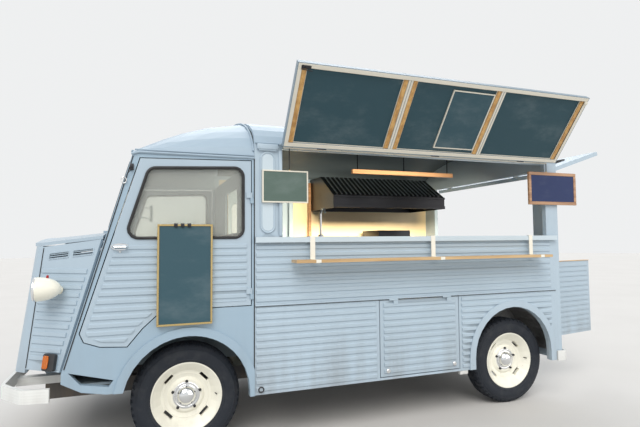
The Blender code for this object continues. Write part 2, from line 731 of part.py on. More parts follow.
def front_crossmember():
    """The front axle's fixed parts: posts on the rails, upper and lower wishbones, steering rack."""
    inner = RAIL_Y[1] + GAP
    rack, bridge = RAIL_Y[0] - 0.07, RAIL_Y[1] + 0.05
    beam = rod("front_crossmember", (0.17, -rack, 0.255), (0.17, rack, 0.255), 0.026, "under")
    pieces = [box("bridge", (-0.06, -bridge, 0.235), (0.20, bridge, 0.275), "under")]
    for side in (LEFT, RIGHT):
        post = box("post", (-0.06, side * inner, 0.21), (0.06, side * (inner + 0.05), 0.47), "under")
        # The drive shaft passes through the post
        pieces.append(cut(post, box("hole", (-0.025, side * (inner - 0.1), 0.385),
                                    (0.025, side * (inner + 0.1), 0.437))))
        for z in ARM_Z:
            outline = [(-0.06, side * (inner + 0.03)), (0.06, side * (inner + 0.03)),
                       (0.028, side * (KINGPIN_Y - 0.01)), (-0.028, side * (KINGPIN_Y - 0.01))]
            pieces.append(slab("arm", "XY", outline, z, z + ARM_THICKNESS, "under"))
    return join(beam, *pieces)


def rear_axle():
    """A cross tube under the floor with a trailing arm and a stub axle at each side."""
    tube_x, half = REAR_TUBE_X, TRAILING_ARM_Y[1] + 0.005
    beam = rod("rear_axle", (tube_x, -half, 0.26), (tube_x, half, 0.26), 0.0397, "under", 16)
    pieces = []
    for side in (LEFT, RIGHT):
        outline = [(tube_x - 0.03, 0.235), (WHEELBASE + 0.05, 0.30), (WHEELBASE + 0.05, 0.37),
                   (tube_x - 0.03, 0.285)]
        pieces.append(slab("trailing_arm", "XZ", outline, *[side * y for y in TRAILING_ARM_Y], "under"))
        inner = (WHEELBASE, side * (TRAILING_ARM_Y[0] + 0.02), TYRE_RADIUS)
        outer = (WHEELBASE, side * (TRACK_HALF + 0.006 - GAP), TYRE_RADIUS)
        pieces.append(rod("stub", inner, outer, AXLE_RADIUS, "under", 16))
    return join(beam, *pieces)


# Cab


def cab_door_outline():
    """The cab door in XZ: front edge along the screen pillar, foot cut up round the wheel arch."""
    rear_x = CAB_REAR_X - 0.023
    return [(-0.293, 1.828), (-0.607, 0.795), (-0.585, 0.745), (-0.500, 0.713), (-0.355, 0.703),
            (-0.273, 0.802), (-0.195, 0.874), (-0.100, 0.905), (rear_x, 0.907), (rear_x, 1.843)]


def cab_window_outline():
    return rounded([(-0.243, 1.772), (-0.375, 1.343), (0.336, 1.343), (0.336, 1.796)], 0.055)


def cab_side(name, side):
    """The fixed side of the cab: screen pillar, front wing with its flare, step and rear pillar."""
    face = side * HALF_WIDTH
    rear_x = CAB_REAR_X - GAP
    outline = [PILLAR_TOP, PILLAR_FOOT, (-0.70, 0.52), (-0.595, 0.462), (-0.46, VALANCE_Z), (-0.2, VALANCE_Z),
               (0.2, SILL_Z), (rear_x, SILL_Z), (rear_x, GUTTER_Z)]
    wall = slab(name, "XZ", outline, *across(face, side, WALL))
    wall = join(wall, arch_flare(FRONT_ARCH, face, side, (VALANCE_Z, SILL_Z)))
    # The flare ends at the joint with the load space
    wall = cut(wall, box("trim", (rear_x, side * 0.9, 0.2), (rear_x + 0.1, side * 1.1, 0.6)))
    step = [(-0.665, 0.578), (-0.425, 0.515), (-0.45, 0.478), (-0.60, 0.505)]
    wall = cut(wall, arch_cutter(FRONT_ARCH, face, side),
               through(grown(cab_door_outline(), DOOR_GAP), face, side), through(step, face, side))
    return join(wall, *hinge_halves("cab_door", False, side))


def mirror():
    """The right-hand mirror: a round-cornered head on two arms from the door's front frame."""
    inner, outer = HALF_WIDTH + 0.075, HALF_WIDTH + MIRROR_REACH
    outline = rounded(rectangle((inner, MIRROR_Z[0]), (outer, MIRROR_Z[1])), 0.04, 3)
    head = slab("mirror", "YZ", outline, MIRROR_X - 0.015, MIRROR_X + 0.012)
    # Where each arm leaves the door's frame: x, z
    roots = ((-0.31, 1.66), (-0.341, 1.56))
    arms = [tube("arm", [(x, HALF_WIDTH - 0.01, z), ((x + MIRROR_X) / 2, HALF_WIDTH + 0.05, z),
                         (MIRROR_X, inner + 0.012, z - 0.01)], 0.006, "body_blue") for x, z in roots]
    return join(head, *arms)


def cab_door(name, side):
    """A rear-hinged door: flat frame round the window and ribs below it, with a mirror on the right."""
    face = side * HALF_WIDTH
    outline = cab_door_outline()
    door = slab(name, "XZ", outline, *across(face, side, CAB_DOOR_THICKNESS))
    band = ribs(face, side, -0.62, CAB_REAR_X, 0.72, 1.31)
    band = combine(band, through(grown(outline, -RIB_MARGIN), face, side), "INTERSECT")
    handle = box("handle", (-0.44, face - side * 0.005, 1.282), (-0.36, face + side * 0.022, 1.300))
    door = cut(join(door, band, handle), through(cab_window_outline(), face, side))
    if side == RIGHT:
        door = join(door, mirror())
    return join(door, *hinge_halves("cab_door", True, side))


def pane(name, outline, face, outward, depth, sheet=0.005):
    """A pane of glass set at a depth behind a wall's face, filling its opening."""
    start = face - outward * depth
    return slab(name, "XZ", grown(outline, -GAP), start, start - outward * sheet, "glass")


def screen_plane():
    """A matrix to the windscreen's sloping plane, from (Y, height on the slope), and its height."""
    foot = Vector((pillar_line_x(COWL_Z), 0, COWL_Z))
    head = Vector((PILLAR_TOP[0], 0, PILLAR_TOP[1]))
    up = (head - foot).normalized()
    side = Vector((0, 1, 0))
    turn = Matrix((side, up, side.cross(up))).transposed().to_4x4()
    return Matrix.Translation(foot) @ turn, (head - foot).length


def windscreen():
    """The screen's frame with a middle post, and one pane behind it."""
    plane, height = screen_plane()
    half = HALF_WIDTH - WALL - GAP
    panes = [rounded(rectangle((low, 0.055), (high, height - 0.045)), 0.04, 3)
             for low, high in ((-half + 0.05, -0.02), (0.02, half - 0.05))]
    frame = slab("windscreen_frame", "XY", rectangle((-half, 0.0), (half, height - 0.001)), 0.0, SCREEN_FRAME,
                 holes=panes)
    glass = slab("windscreen_glass", "XY", rectangle((-half + 0.03, 0.035), (half - 0.03, height - 0.03)),
                 SCREEN_FRAME + GAP, SCREEN_FRAME + GAP + 0.005, "glass")
    frame = join(placed(frame, plane), *hinge_halves("bonnet", False))
    return frame, placed(glass, plane)


def roof_ring(x, base, rise):
    """A roof section at x: over the outside from left to right, and back along the inside."""
    count = 16
    half = HALF_WIDTH
    ring = []
    for radius_y, radius_z, order in ((half, rise, 1), (half - ROOF_SHEET, rise - ROOF_SHEET, -1)):
        points = []
        for step in range(count + 1):
            angle = math.pi * step / count
            points.append((x, -radius_y * math.cos(angle), base + max(radius_z, 0.004) * math.sin(angle)))
        ring += points[::order]
    return ring


def cab_roof():
    """A domed shell that rises from the windscreen's head back to the load space."""
    front, rear = PILLAR_TOP[0], CAB_REAR_X - GAP
    base = GUTTER_Z + GAP
    rings = []
    for share in (0.0, 0.05, 0.13, 0.25, 0.42, 0.65, 1.0):
        x = front + (rear - front) * share
        bend = (1 - (1 - share * 0.77) ** 2) ** 0.75 / (1 - 0.23 ** 2) ** 0.75
        rings.append(roof_ring(x, base, SCREEN_HEAD_RISE + (CAB_ROOF_RISE - SCREEN_HEAD_RISE) * bend))
    return lofted("cab_roof", rings, "body_blue")


def load_roof():
    """The load space's roof with shallow ribs along its middle."""
    base = EAVES_Z + GAP
    ends = (CAB_REAR_X, REAR_FRAME_X)
    roof = lofted("load_roof", [roof_ring(x, base, ROOF_RISE) for x in ends], "body_blue")
    for index in range(-3, 4):
        y = index * 0.13
        z = base + ROOF_RISE * math.sqrt(1 - (y / HALF_WIDTH) ** 2)
        slope = math.degrees(math.asin(-y / HALF_WIDTH * ROOF_RISE / HALF_WIDTH))
        ridge = box("ridge", (HATCH_FRONT_X + 0.1, -0.022, -0.008), (REAR_FRAME_X - 0.06, 0.022, 0.006))
        turn = Matrix.Rotation(math.radians(slope), 4, "X")
        roof = join(roof, placed(ridge, Matrix.Translation((0, y, z)) @ turn))
    return roof


# Nose. Its slanted side panels are planar: a matrix takes (forwards, up, inwards) to each


NOSE_SIDE_FOOT = Vector((-0.70, -NOSE_FOOT_Y, 0.58))
NOSE_SIDE_FORWARD = Vector((-0.2156, 0.168, 0)).normalized()
NOSE_SIDE_OUT = Vector((-0.6065, -0.7777, 0.1645)).normalized()


def nose_side_plane():
    up = NOSE_SIDE_FORWARD.cross(NOSE_SIDE_OUT)
    turn = Matrix((NOSE_SIDE_FORWARD, up, -NOSE_SIDE_OUT)).transposed().to_4x4()
    return Matrix.Translation(NOSE_SIDE_FOOT) @ turn


def nose_side():
    """The left slanted panel ahead of the screen pillar: ribs, two vents and the indicator's box."""
    # Corners in the panel's own plane: forwards, up
    foot_rear, foot_front = (0.0165, 0.0), (0.2775, 0.0)
    head_front, head_rear = (0.2895, 0.722), (-0.1492, 0.768)
    outline = [foot_rear, foot_front, head_front, head_rear]
    panel = slab("nose_side", "XY", outline, 0.0, NOSE_SHEET)
    count = 12
    for index in range(count):
        low = 0.05 + index * RIB_PITCH
        share = low / head_front[1]
        rear = foot_rear[0] + share * (head_rear[0] - foot_rear[0]) + RIB_MARGIN
        front = foot_front[0] + share * (head_front[0] - foot_front[0]) - RIB_MARGIN
        ridge = [(0.004, low), (-RIB_HEIGHT, low + 0.2 * RIB_PITCH), (-RIB_HEIGHT, low + 0.65 * RIB_PITCH),
                 (0.004, low + 0.85 * RIB_PITCH)]
        bar = slab("ridge", "YZ", [(height, out) for out, height in ridge], rear, front)
        panel = join(panel, bar)
    for rear, front in ((-0.105, 0.045), (0.075, 0.225)):
        vent = [(rear, 0.662 + (0.045 - rear) * 0.1), (front, 0.662 + (0.045 - front) * 0.1),
                (front, 0.700 + (0.045 - front) * 0.1), (rear, 0.700 + (0.045 - rear) * 0.1)]
        panel = cut(panel, slab("vent", "XY", vent, -0.03, 0.05))
    indicator = rounded(rectangle((0.036, 0.006), (0.117, 0.100)), 0.014, 2)
    panel = join(panel, slab("indicator", "XY", indicator, -0.030, 0.004))
    return placed(panel, nose_side_plane())


def nose_front():
    """The front face with its rounded corner columns, opened for the grille."""
    bm = bmesh.new()
    rows = []
    # Level: z, x of the front face, seam with the side panel (x, y), y of the square corner
    table = ((NOSE_FLOOR_Z, NOSE_FRONT_X[0], (-0.9156, -NOSE_FOOT_Y + 0.168), -NOSE_FOOT_Y + 0.218),
             (NOSE_TOP_Z, NOSE_FRONT_X[1], (-0.8515, -NOSE_FOOT_Y + 0.2705), -NOSE_FOOT_Y + 0.307))
    for z, front_x, seam, corner_y in table:
        half = rounded([seam, (front_x, corner_y), (front_x, 0.0)], NOSE_CORNER_RADIUS, 5, closed=False)
        plan = half + [(x, -y) for x, y in reversed(half[:-1])]
        rows.append([bm.verts.new((x, y, z)) for x, y in plan])
    for index in range(len(rows[0]) - 1):
        bm.faces.new((rows[0][index], rows[0][index + 1], rows[1][index + 1], rows[1][index]))
    shell = from_bmesh("nose_shell", bm, "body_blue")
    wall = shell.modifiers.new("wall", "SOLIDIFY")
    wall.thickness = NOSE_SHEET
    wall.offset = 1
    wall.use_even_offset = True
    shell = frozen(shell)
    opening = rectangle((-GRILLE_HALF, GRILLE_Z[0]), (GRILLE_HALF, GRILLE_Z[1]))
    return cut(shell, slab("opening", "YZ", opening, NOSE_FRONT_X[0] - 0.1, NOSE_FRONT_X[1] + 0.1))


def grille():
    """Flat slats across the nose's opening, in one leaning frame."""
    lean = (NOSE_FRONT_X[1] - NOSE_FRONT_X[0]) / (NOSE_TOP_Z - NOSE_FLOOR_Z)
    height = GRILLE_Z[1] - GRILLE_Z[0] - 2 * GAP
    pitch = (height - 0.03) / GRILLE_SLATS
    half = GRILLE_HALF - GAP
    holes = [rectangle((-half + 0.02, 0.02 + index * pitch), (half - 0.02, 0.02 + (index + 0.62) * pitch))
             for index in range(GRILLE_SLATS)]
    frame = slab("grille", "YZ", rectangle((-half, 0), (half, height)), 0.0, 0.016, "body_blue", holes)
    x = NOSE_FRONT_X[0] + lean * (GRILLE_Z[0] - NOSE_FLOOR_Z) + 0.002
    shear = Matrix(((1, 0, lean, x), (0, 1, 0, 0), (0, 0, 1, GRILLE_Z[0] + GAP), (0, 0, 0, 1)))
    return placed(frame, shear)


def bonnet():
    """The lid over the nose: crowned, widening back to the windscreen."""
    rings = []
    # Station: x, half width, z of its lower face at the edge
    table = ((NOSE_FRONT_X[1] - 0.004, NOSE_FOOT_Y - 0.33, NOSE_TOP_Z + 0.0005),
             (-0.8515, NOSE_FOOT_Y - 0.2705, NOSE_TOP_Z + 0.002),
             (-0.495, NOSE_FOOT_Y - 0.012, 1.3395))
    count = 10
    for x, half, base in table:
        under = [(x, -half + 2 * half * step / count) for step in range(count + 1)]
        low = [(x, y, base + BONNET_CROWN * (1 - (y / half) ** 2)) for _, y in under]
        rings.append([(px, y, z + BONNET_SHEET) for px, y, z in low] + low[::-1])
    return join(lofted("bonnet", rings, "body_blue"), *hinge_halves("bonnet", True))


def headlamp():
    """The left lamp: a bowl turned about X with its flat lens to the front, on a stalk to the nose."""
    centre = Vector((HEADLAMP[0], -HEADLAMP[1], HEADLAMP[2]))
    # Bowl from the lens rim back: radius, distance forwards
    bowl = [(0, 0.068), (0.058, 0.066), (0.069, 0.058), (0.0685, 0.038), (0.062, -0.008), (0.044, -0.045),
            (0.020, -0.068), (0, -0.073)]
    lamp = turned("headlamp_left", bowl, "cream", closed=False, steps=20)
    lamp = placed(lamp, Matrix.Translation(centre) @ Matrix.Rotation(math.radians(-90), 4, "Y"))
    start = centre + NOSE_SIDE_OUT * -0.04
    depth = (centre - NOSE_SIDE_FOOT).dot(NOSE_SIDE_OUT) - RIB_HEIGHT - GAP
    return join(lamp, rod("stalk", start, centre - NOSE_SIDE_OUT * depth, 0.016, "cream"))


# Load space


def lower_side_left():
    """The left flank below the waist: ribbed panels each side of the locker opening, and the rear arch."""
    face = LEFT * HALF_WIDTH
    front, rear = CAB_REAR_X, BODY_REAR_X
    outline = rectangle((front, SILL_Z), (rear, WAIST_Z))
    wall = slab("lower_side_left", "XZ", outline, *across(face, LEFT, WALL))
    # Bands of ribs: x from and to, z from and to
    bands = ((front + 0.012, LOCKER_FRONT_X - 0.03, SILL_Z + 0.012, WAIST_Z - 0.012),
             (LOCKER_REAR_X + 0.03, rear - 0.06, SILL_Z + 0.012, WAIST_Z - 0.012))
    for band in bands:
        wall = join(wall, ribs(face, LEFT, *band))
    wall = join(wall, arch_flare(REAR_ARCH, face, LEFT, (SILL_Z, SILL_Z)))
    opening = grown(rectangle((LOCKER_FRONT_X, LOCKER_FOOT_Z), (LOCKER_REAR_X, LOCKER_HEAD_Z)), DOOR_GAP)
    wall = cut(wall, arch_cutter(REAR_ARCH, face, LEFT), through(opening, face, LEFT))
    return join(wall, *hinge_halves("locker", False, LEFT))


def locker_door():
    face = LEFT * HALF_WIDTH
    outline = rectangle((LOCKER_FRONT_X, LOCKER_FOOT_Z), (LOCKER_REAR_X, LOCKER_HEAD_Z))
    door = slab("locker_door", "XZ", outline, *across(face, LEFT, CAB_DOOR_THICKNESS))
    return join(door, ribs(face, LEFT, LOCKER_FRONT_X + RIB_MARGIN, LOCKER_REAR_X - RIB_MARGIN,
                           LOCKER_FOOT_Z + 0.012, LOCKER_HEAD_Z - 0.012), *hinge_halves("locker", True, LEFT))


def upper_side_left():
    """Waist panel, hatch pillars, header with the flap's hinge rail, and the pressed pillar panel."""
    face = LEFT * HALF_WIDTH
    front, rear = CAB_REAR_X, BODY_REAR_X
    top = COUNTER_Z - COUNTER_SHEET
    outline = [(front, WAIST_Z + GAP), (rear, WAIST_Z + GAP), (rear, EAVES_Z), (front, EAVES_Z)]
    hatch = rectangle((HATCH_FRONT_X, top), (HATCH_REAR_X, HATCH_TOP_Z))
    wall = slab("upper_side_left", "XZ", outline, *across(face, LEFT, WALL), holes=[hatch])
    wall = join(wall, ribs(face, LEFT, front + 0.012, rear - 0.06, WAIST_Z + 0.012, top - 0.008))
    pressed = rounded(rectangle((0.452, 1.375), (0.545, 1.915)), 0.045)
    wall = join(wall, slab("pressed", "XZ", pressed, face + LEFT * 0.005, face - LEFT * 0.01))
    rail = box("rail", (FLAP_FRONT_X, face + 0.01, HEADER_RAIL_Z[0]),
               (FLAP_REAR_X, face - FLAP_STANDOFF - FLAP_DEPTH, EAVES_Z - 0.001))
    return join(join(wall, rail), *hinge_halves("flap", False, LEFT))


def body_side_right():
    """The whole right side behind the cab: ribs, rear arch and the sliding door's opening and rails."""
    face = RIGHT * HALF_WIDTH
    front, rear = CAB_REAR_X, BODY_REAR_X
    outline = rectangle((front, SILL_Z), (rear, EAVES_Z))
    wall = slab("body_side_right", "XZ", outline, *across(face, RIGHT, WALL))
    start = SIDE_DOOR_REAR_X + SIDE_DOOR_OVERLAP + 0.02
    for low, high in ((SILL_Z + 0.03, WAIST_Z - 0.012), (WAIST_Z + 0.012, 1.30), (1.33, EAVES_Z - 0.09)):
        wall = join(wall, ribs(face, RIGHT, start, rear - 0.06, low, high))
    wall = join(wall, arch_flare(REAR_ARCH, face, RIGHT, (SILL_Z, SILL_Z)))
    reach = face + SIDE_DOOR_STANDOFF + SIDE_DOOR_SHEET
    rail_end = SIDE_DOOR_REAR_X + SIDE_DOOR_OVERLAP + SIDE_DOOR_TRAVEL
    head = SIDE_DOOR_HEAD_Z + SIDE_DOOR_OVERLAP + GAP
    rail = box("top_rail", (SIDE_DOOR_FRONT_X - 0.03, face - 0.01, head), (rail_end, reach, head + 0.03))
    wall = join(wall, rail)
    opening = rectangle((SIDE_DOOR_FRONT_X, SIDE_DOOR_FOOT_Z), (SIDE_DOOR_REAR_X, SIDE_DOOR_HEAD_Z))
    return cut(wall, arch_cutter(REAR_ARCH, face, RIGHT), through(opening, face, RIGHT))


def side_window_outline():
    return rounded(rectangle((SIDE_DOOR_FRONT_X + 0.12, 1.34), (SIDE_DOOR_REAR_X - 0.12, 1.72)), 0.05)


def side_door():
    """The sliding door that hangs outside the right wall, ribbed below its window."""
    face = RIGHT * HALF_WIDTH + SIDE_DOOR_STANDOFF + SIDE_DOOR_SHEET
    low = (SIDE_DOOR_FRONT_X - SIDE_DOOR_OVERLAP, SIDE_DOOR_FOOT_Z - SIDE_DOOR_OVERLAP)
    high = (SIDE_DOOR_REAR_X + SIDE_DOOR_OVERLAP, SIDE_DOOR_HEAD_Z + SIDE_DOOR_OVERLAP)
    door = slab("side_door", "XZ", rectangle(low, high), *across(face, RIGHT, SIDE_DOOR_SHEET))
    for band in ((low[1] + 0.03, WAIST_Z), (WAIST_Z + 0.03, 1.29)):
        door = join(door, ribs(face, RIGHT, low[0] + RIB_MARGIN, high[0] - RIB_MARGIN, *band))
    return cut(door, through(side_window_outline(), face, RIGHT))


def rear_frame():
    """The rear end round its doorway, up to the roof, with the fixed halves of its hinges."""
    inside = HALF_WIDTH - ROOF_SHEET - GAP
    rise = ROOF_RISE - ROOF_SHEET - GAP
    top = [(inside * math.cos(math.pi * step / 16), EAVES_Z + GAP + rise * math.sin(math.pi * step / 16))
           for step in range(17)]
    sides = rectangle((-HALF_WIDTH, SILL_Z), (HALF_WIDTH, EAVES_Z))
    outline = sides[:3] + top + sides[3:]
    doorway = rectangle((-DOORWAY_HALF, DOORWAY_FLOOR_Z), (DOORWAY_HALF, DOORWAY_TOP_Z))
    frame = slab("rear_frame", "YZ", outline, BODY_REAR_X + GAP, REAR_FRAME_X, holes=[doorway])
    return join(frame, *hinge_halves("rear_door", False, LEFT), *hinge_halves("rear_door", False, RIGHT),
                *hinge_halves("tailgate", False))


def rear_bumper(name, side):
    """A short white blade round one rear corner, on a bracket to the body."""
    z = (REAR_BUMPER_Z, REAR_BUMPER_Z + BUMPER_HEIGHT)
    y_out, x_out = side * (HALF_WIDTH + 0.022), REAR_FRAME_X + 0.045
    start = BODY_REAR_X - 0.025
    y_end, sheet = side * (DOORWAY_HALF - 0.04), 0.014
    outline = rounded([(start, y_out), (x_out, y_out), (x_out, y_end)], 0.05, 4, closed=False)
    y_in, x_in = y_out - side * sheet, x_out - sheet
    inner = rounded([(start, y_in), (x_in, y_in), (x_in, y_end)], 0.05 - sheet, 4, closed=False)
    blade = slab(name, "XY", outline + inner[::-1], *z, "white")
    bracket = box("bracket", (REAR_FRAME_X + GAP, side * (HALF_WIDTH - 0.19), z[0] + 0.02),
                  (x_out - 0.005, side * (HALF_WIDTH - 0.13), z[1] - 0.01))
    return join(blade, bracket)


def rear_door(name, side):
    """One of the two low rear doors, ribbed on its outside."""
    face = REAR_FRAME_X
    low, high = DOORWAY_FLOOR_Z + DOOR_GAP, DOORWAY_SPLIT_Z - DOOR_GAP
    y = sorted((side * (DOORWAY_HALF - DOOR_GAP), side * DOOR_GAP / 2))
    door = slab(name, "YZ", rectangle((y[0], low), (y[1], high)), face, face - CAB_DOOR_THICKNESS)
    profile = rib_profile(face, 1, low + 0.015, high - 0.015)
    band = slab("ribs", "XZ", profile, y[0] + RIB_MARGIN, y[1] - RIB_MARGIN)
    return join(door, band, *hinge_halves("rear_door", True, side))


def tailgate_window_outline():
    return rounded(rectangle((-0.55, 1.27), (0.55, 1.76)), 0.06)


def tailgate():
    low, high = DOORWAY_SPLIT_Z, DOORWAY_TOP_Z - DOOR_GAP
    outline = rectangle((-DOORWAY_HALF + DOOR_GAP, low), (DOORWAY_HALF - DOOR_GAP, high))
    gate = slab("tailgate", "YZ", outline, REAR_FRAME_X, REAR_FRAME_X - CAB_DOOR_THICKNESS,
                holes=[tailgate_window_outline()])
    glass = slab("tailgate_glass", "YZ", grown(tailgate_window_outline(), -GAP), REAR_FRAME_X - 0.018,
                 REAR_FRAME_X - 0.023, "glass")
    return join(gate, *hinge_halves("tailgate", True)), glass


# Serving side


def counter_top():
    """The worktop through the hatch, with the long lip outside."""
    face = LEFT * HALF_WIDTH
    top = COUNTER_Z - COUNTER_SHEET + GAP
    inner = face + WALL + GAP
    outline = [(CAB_REAR_X + 0.002, COUNTER_LIP_Y), (BODY_REAR_X - 0.002, COUNTER_LIP_Y),
               (BODY_REAR_X - 0.002, face - 0.0055), (HATCH_REAR_X - GAP, face - 0.0055),
               (HATCH_REAR_X - GAP, inner), (HATCH_REAR_X - GAP, COUNTER_INNER_Y),
               (HATCH_FRONT_X + GAP, COUNTER_INNER_Y), (HATCH_FRONT_X + GAP, face - 0.0055),
               (CAB_REAR_X + 0.002, face - 0.0055)]
    return slab("counter_top", "XY", outline, top, COUNTER_Z, "white")


def shelf():
    """The outside shelf: a plank on three flat hangers that hook over the counter's lip."""
    inner = COUNTER_LIP_Y - STRAP_THICKNESS - 2 * GAP
    plank = box("serving_shelf", (SHELF_FRONT_X, inner - SHELF_DEPTH, SHELF_Z),
                (SHELF_REAR_X, inner, SHELF_Z + SHELF_THICKNESS), "wood")
    hangers = []
    out, hook = COUNTER_LIP_Y - GAP, COUNTER_LIP_Y + 0.02
    for x in STRAP_XS:
        # Hook over the lip, down, and out under the plank
        outline = [(hook, COUNTER_Z + GAP), (hook, COUNTER_Z + GAP + STRAP_THICKNESS),
                   (out - STRAP_THICKNESS, COUNTER_Z + GAP + STRAP_THICKNESS),
                   (out - STRAP_THICKNESS, SHELF_Z + 0.001), (out - SHELF_DEPTH * 0.8, SHELF_Z + 0.001),
                   (out - SHELF_DEPTH * 0.8, SHELF_Z - STRAP_THICKNESS), (out, SHELF_Z - STRAP_THICKNESS),
                   (out, COUNTER_Z + GAP)]
        hangers.append(slab("hanger", "YZ", outline, x - STRAP_WIDTH / 2, x + STRAP_WIDTH / 2, "cream"))
    return join(plank, *hangers)


def flap_bays():
    """The three bays between the flap's bars, as (x from, x to)."""
    low, high = FLAP_FRONT_X + FLAP_RIM, FLAP_REAR_X - FLAP_RIM
    pitch = (high - low) / 3
    bar = 0.018
    bays = []
    for index in range(3):
        start = low + index * pitch + (bar if index else 0)
        end = low + (index + 1) * pitch - (bar if index < 2 else 0)
        bays.append((start, end))
    return bays


def flap():
    """The serving flap, closed: an outer skin on a frame with two bars over the menu boards."""
    outer = LEFT * (HALF_WIDTH + FLAP_STANDOFF + FLAP_DEPTH)
    inner = LEFT * (HALF_WIDTH + FLAP_STANDOFF)
    low, high = FLAP_FOOT_Z + FLAP_RIM, FLAP_HEAD_Z - FLAP_RIM
    panel = box("serving_flap", (FLAP_FRONT_X, outer, FLAP_FOOT_Z), (FLAP_REAR_X, inner, FLAP_HEAD_Z))
    panel = cut(panel, box("pocket", (FLAP_FRONT_X + FLAP_RIM, outer + FLAP_SKIN, low),
                           (FLAP_REAR_X - FLAP_RIM, inner + 0.1, high)))
    bays = flap_bays()
    bars = [box("bar", (before[1], outer + FLAP_SKIN + BOARD_SHEET + 2 * GAP, low - 0.005),
                (after[0], inner - 0.004, high + 0.005)) for before, after in zip(bays, bays[1:])]
    return join(panel, *bars, *hinge_halves("flap", True, LEFT))


def menu_boards():
    """The boards' shared backing sheet, in the flap's pocket behind its bars."""
    back = LEFT * (HALF_WIDTH + FLAP_STANDOFF + FLAP_DEPTH - FLAP_SKIN) + GAP
    return box("menu_boards", (FLAP_FRONT_X + FLAP_RIM + GAP, back, FLAP_FOOT_Z + FLAP_RIM + GAP),
               (FLAP_REAR_X - FLAP_RIM - GAP, back + BOARD_SHEET, FLAP_HEAD_Z - FLAP_RIM - GAP), "slate")


def hanging_sign(name, x_low, x_high, z_low, z_high, string_x, finish):
    """A sign board just outside the wall, on one string from the flap's rail."""
    y_out, y_in = LEFT * (HALF_WIDTH + 0.023), LEFT * (HALF_WIDTH + 0.009)
    board = box(name, (x_low, y_out, z_low), (x_high, y_in, z_high), finish)
    y = (y_out + y_in) / 2
    foot, head = (string_x, y, z_high - 0.005), (string_x, y, HEADER_RAIL_Z[0] - GAP)
    return join(board, rod("string", foot, head, 0.003, finish, 8))


# Inside


def seats():
    """The driver's and passenger's seats on one low frame over the engine cover and housings."""
    pads = []
    for side in (LEFT, RIGHT):
        y = (side * 0.27, side * 0.62)
        outline = [(-0.06, 0.80), (0.36, 0.80), (0.385, 1.36), (0.30, 1.38), (0.245, 0.96), (-0.06, 0.95)]
        pads.append(slab("seat", "XZ", outline, *y, "vinyl"))
    foot = [(x, cover_top_z(x) + GAP) for x in (0.0, 0.30)]
    frame = slab("seats", "XZ", foot + [(x, z + 0.03) for x, z in reversed(foot)], -0.60, 0.60, "vinyl")
    return join(frame, *pads)


def dashboard():
    """The dash beam with the steering column and its bracket."""
    edge = HALF_WIDTH - WALL - GAP
    section = [(firewall_x(z) + FIREWALL_SHEET + GAP, z) for z in (1.18, 1.33)]
    section += [(-0.375, 1.33), (-0.36, 1.31), (-0.36, 1.18)]
    beam = slab("dashboard", "XZ", section, -edge, edge, "dark")
    top = Vector(STEERING_WHEEL)
    foot = Vector(COLUMN_FOOT)
    end = top - (top - foot).normalized() * (HUB_DEPTH + GAP)
    column = rod("column", foot, end, 0.02, "dark")
    reach = foot.lerp(top, 0.32)
    bracket = box("bracket", (reach.x - 0.012, DRIVER_Y - 0.015, reach.z),
                  (reach.x + 0.012, DRIVER_Y + 0.015, 1.20), "dark")
    return join(beam, column, bracket)


def steering_wheel():
    """Rim, hub and three spokes, turned about the column."""
    section = [(STEERING_WHEEL_RADIUS + 0.011 * math.cos(angle), 0.011 * math.sin(angle))
               for angle in (math.radians(60 * step) for step in range(6))]
    wheel = turned("steering_wheel", section, "dark", steps=24)
    pieces = [rod("hub", (0, 0, -HUB_DEPTH), (0, 0, 0.012), 0.032, "dark")]
    for spoke in range(3):
        end = Matrix.Rotation(math.radians(90 + 120 * spoke), 3, "Z") @ Vector((STEERING_WHEEL_RADIUS, 0, 0))
        pieces.append(rod("spoke", (0, 0, -0.005), end, 0.008, "dark", 8))
    wheel = join(wheel, *pieces)
    axis = (Vector(STEERING_WHEEL) - Vector(COLUMN_FOOT)).normalized()
    turn = axis.to_track_quat("Z", "Y").to_matrix().to_4x4()
    return placed(wheel, Matrix.Translation(STEERING_WHEEL) @ turn)


def extractor_hood():
    """A canopy open below, with a sloping face, along the right wall over the cooking line."""
    wall = RIGHT * (HALF_WIDTH - WALL - GAP)
    sheet = 0.015
    outline = [(HOOD_Y, HOOD_Z[0]), (wall, HOOD_Z[0]), (wall, HOOD_Z[1]), (HOOD_TOP_Y, HOOD_Z[1]),
               (HOOD_Y, HOOD_Z[0] + 0.12)]
    hood = slab("extractor_hood", "YZ", outline, *HOOD_X, "dark")
    hollow = [(HOOD_Y + sheet, HOOD_Z[0] - 0.05), (wall - sheet, HOOD_Z[0] - 0.05),
              (wall - sheet, HOOD_Z[1] - sheet),
              (HOOD_TOP_Y + 0.005, HOOD_Z[1] - sheet), (HOOD_Y + sheet, HOOD_Z[0] + 0.11)]
    return cut(hood, slab("hollow", "YZ", hollow, HOOD_X[0] + sheet, HOOD_X[1] - sheet))


def kitchen_unit():
    """The cooking line's cabinet under the hood, along the right wall ahead of the wheel housing."""
    wall = RIGHT * (HALF_WIDTH - WALL - GAP)
    rear_x = REAR_ARCH[0] - REAR_ARCH[2] - HOUSING_CLEARANCE - 0.01
    front_x = SIDE_DOOR_REAR_X + 0.08
    unit = box("kitchen_unit", (front_x, KITCHEN_Y, FLOOR_TOP_Z + GAP), (rear_x, wall, KITCHEN_Z - 0.03),
               "steel")
    top = box("top", (front_x, KITCHEN_Y - 0.02, KITCHEN_Z - 0.035), (rear_x + 0.5, wall, KITCHEN_Z), "steel")
    return join(unit, top)


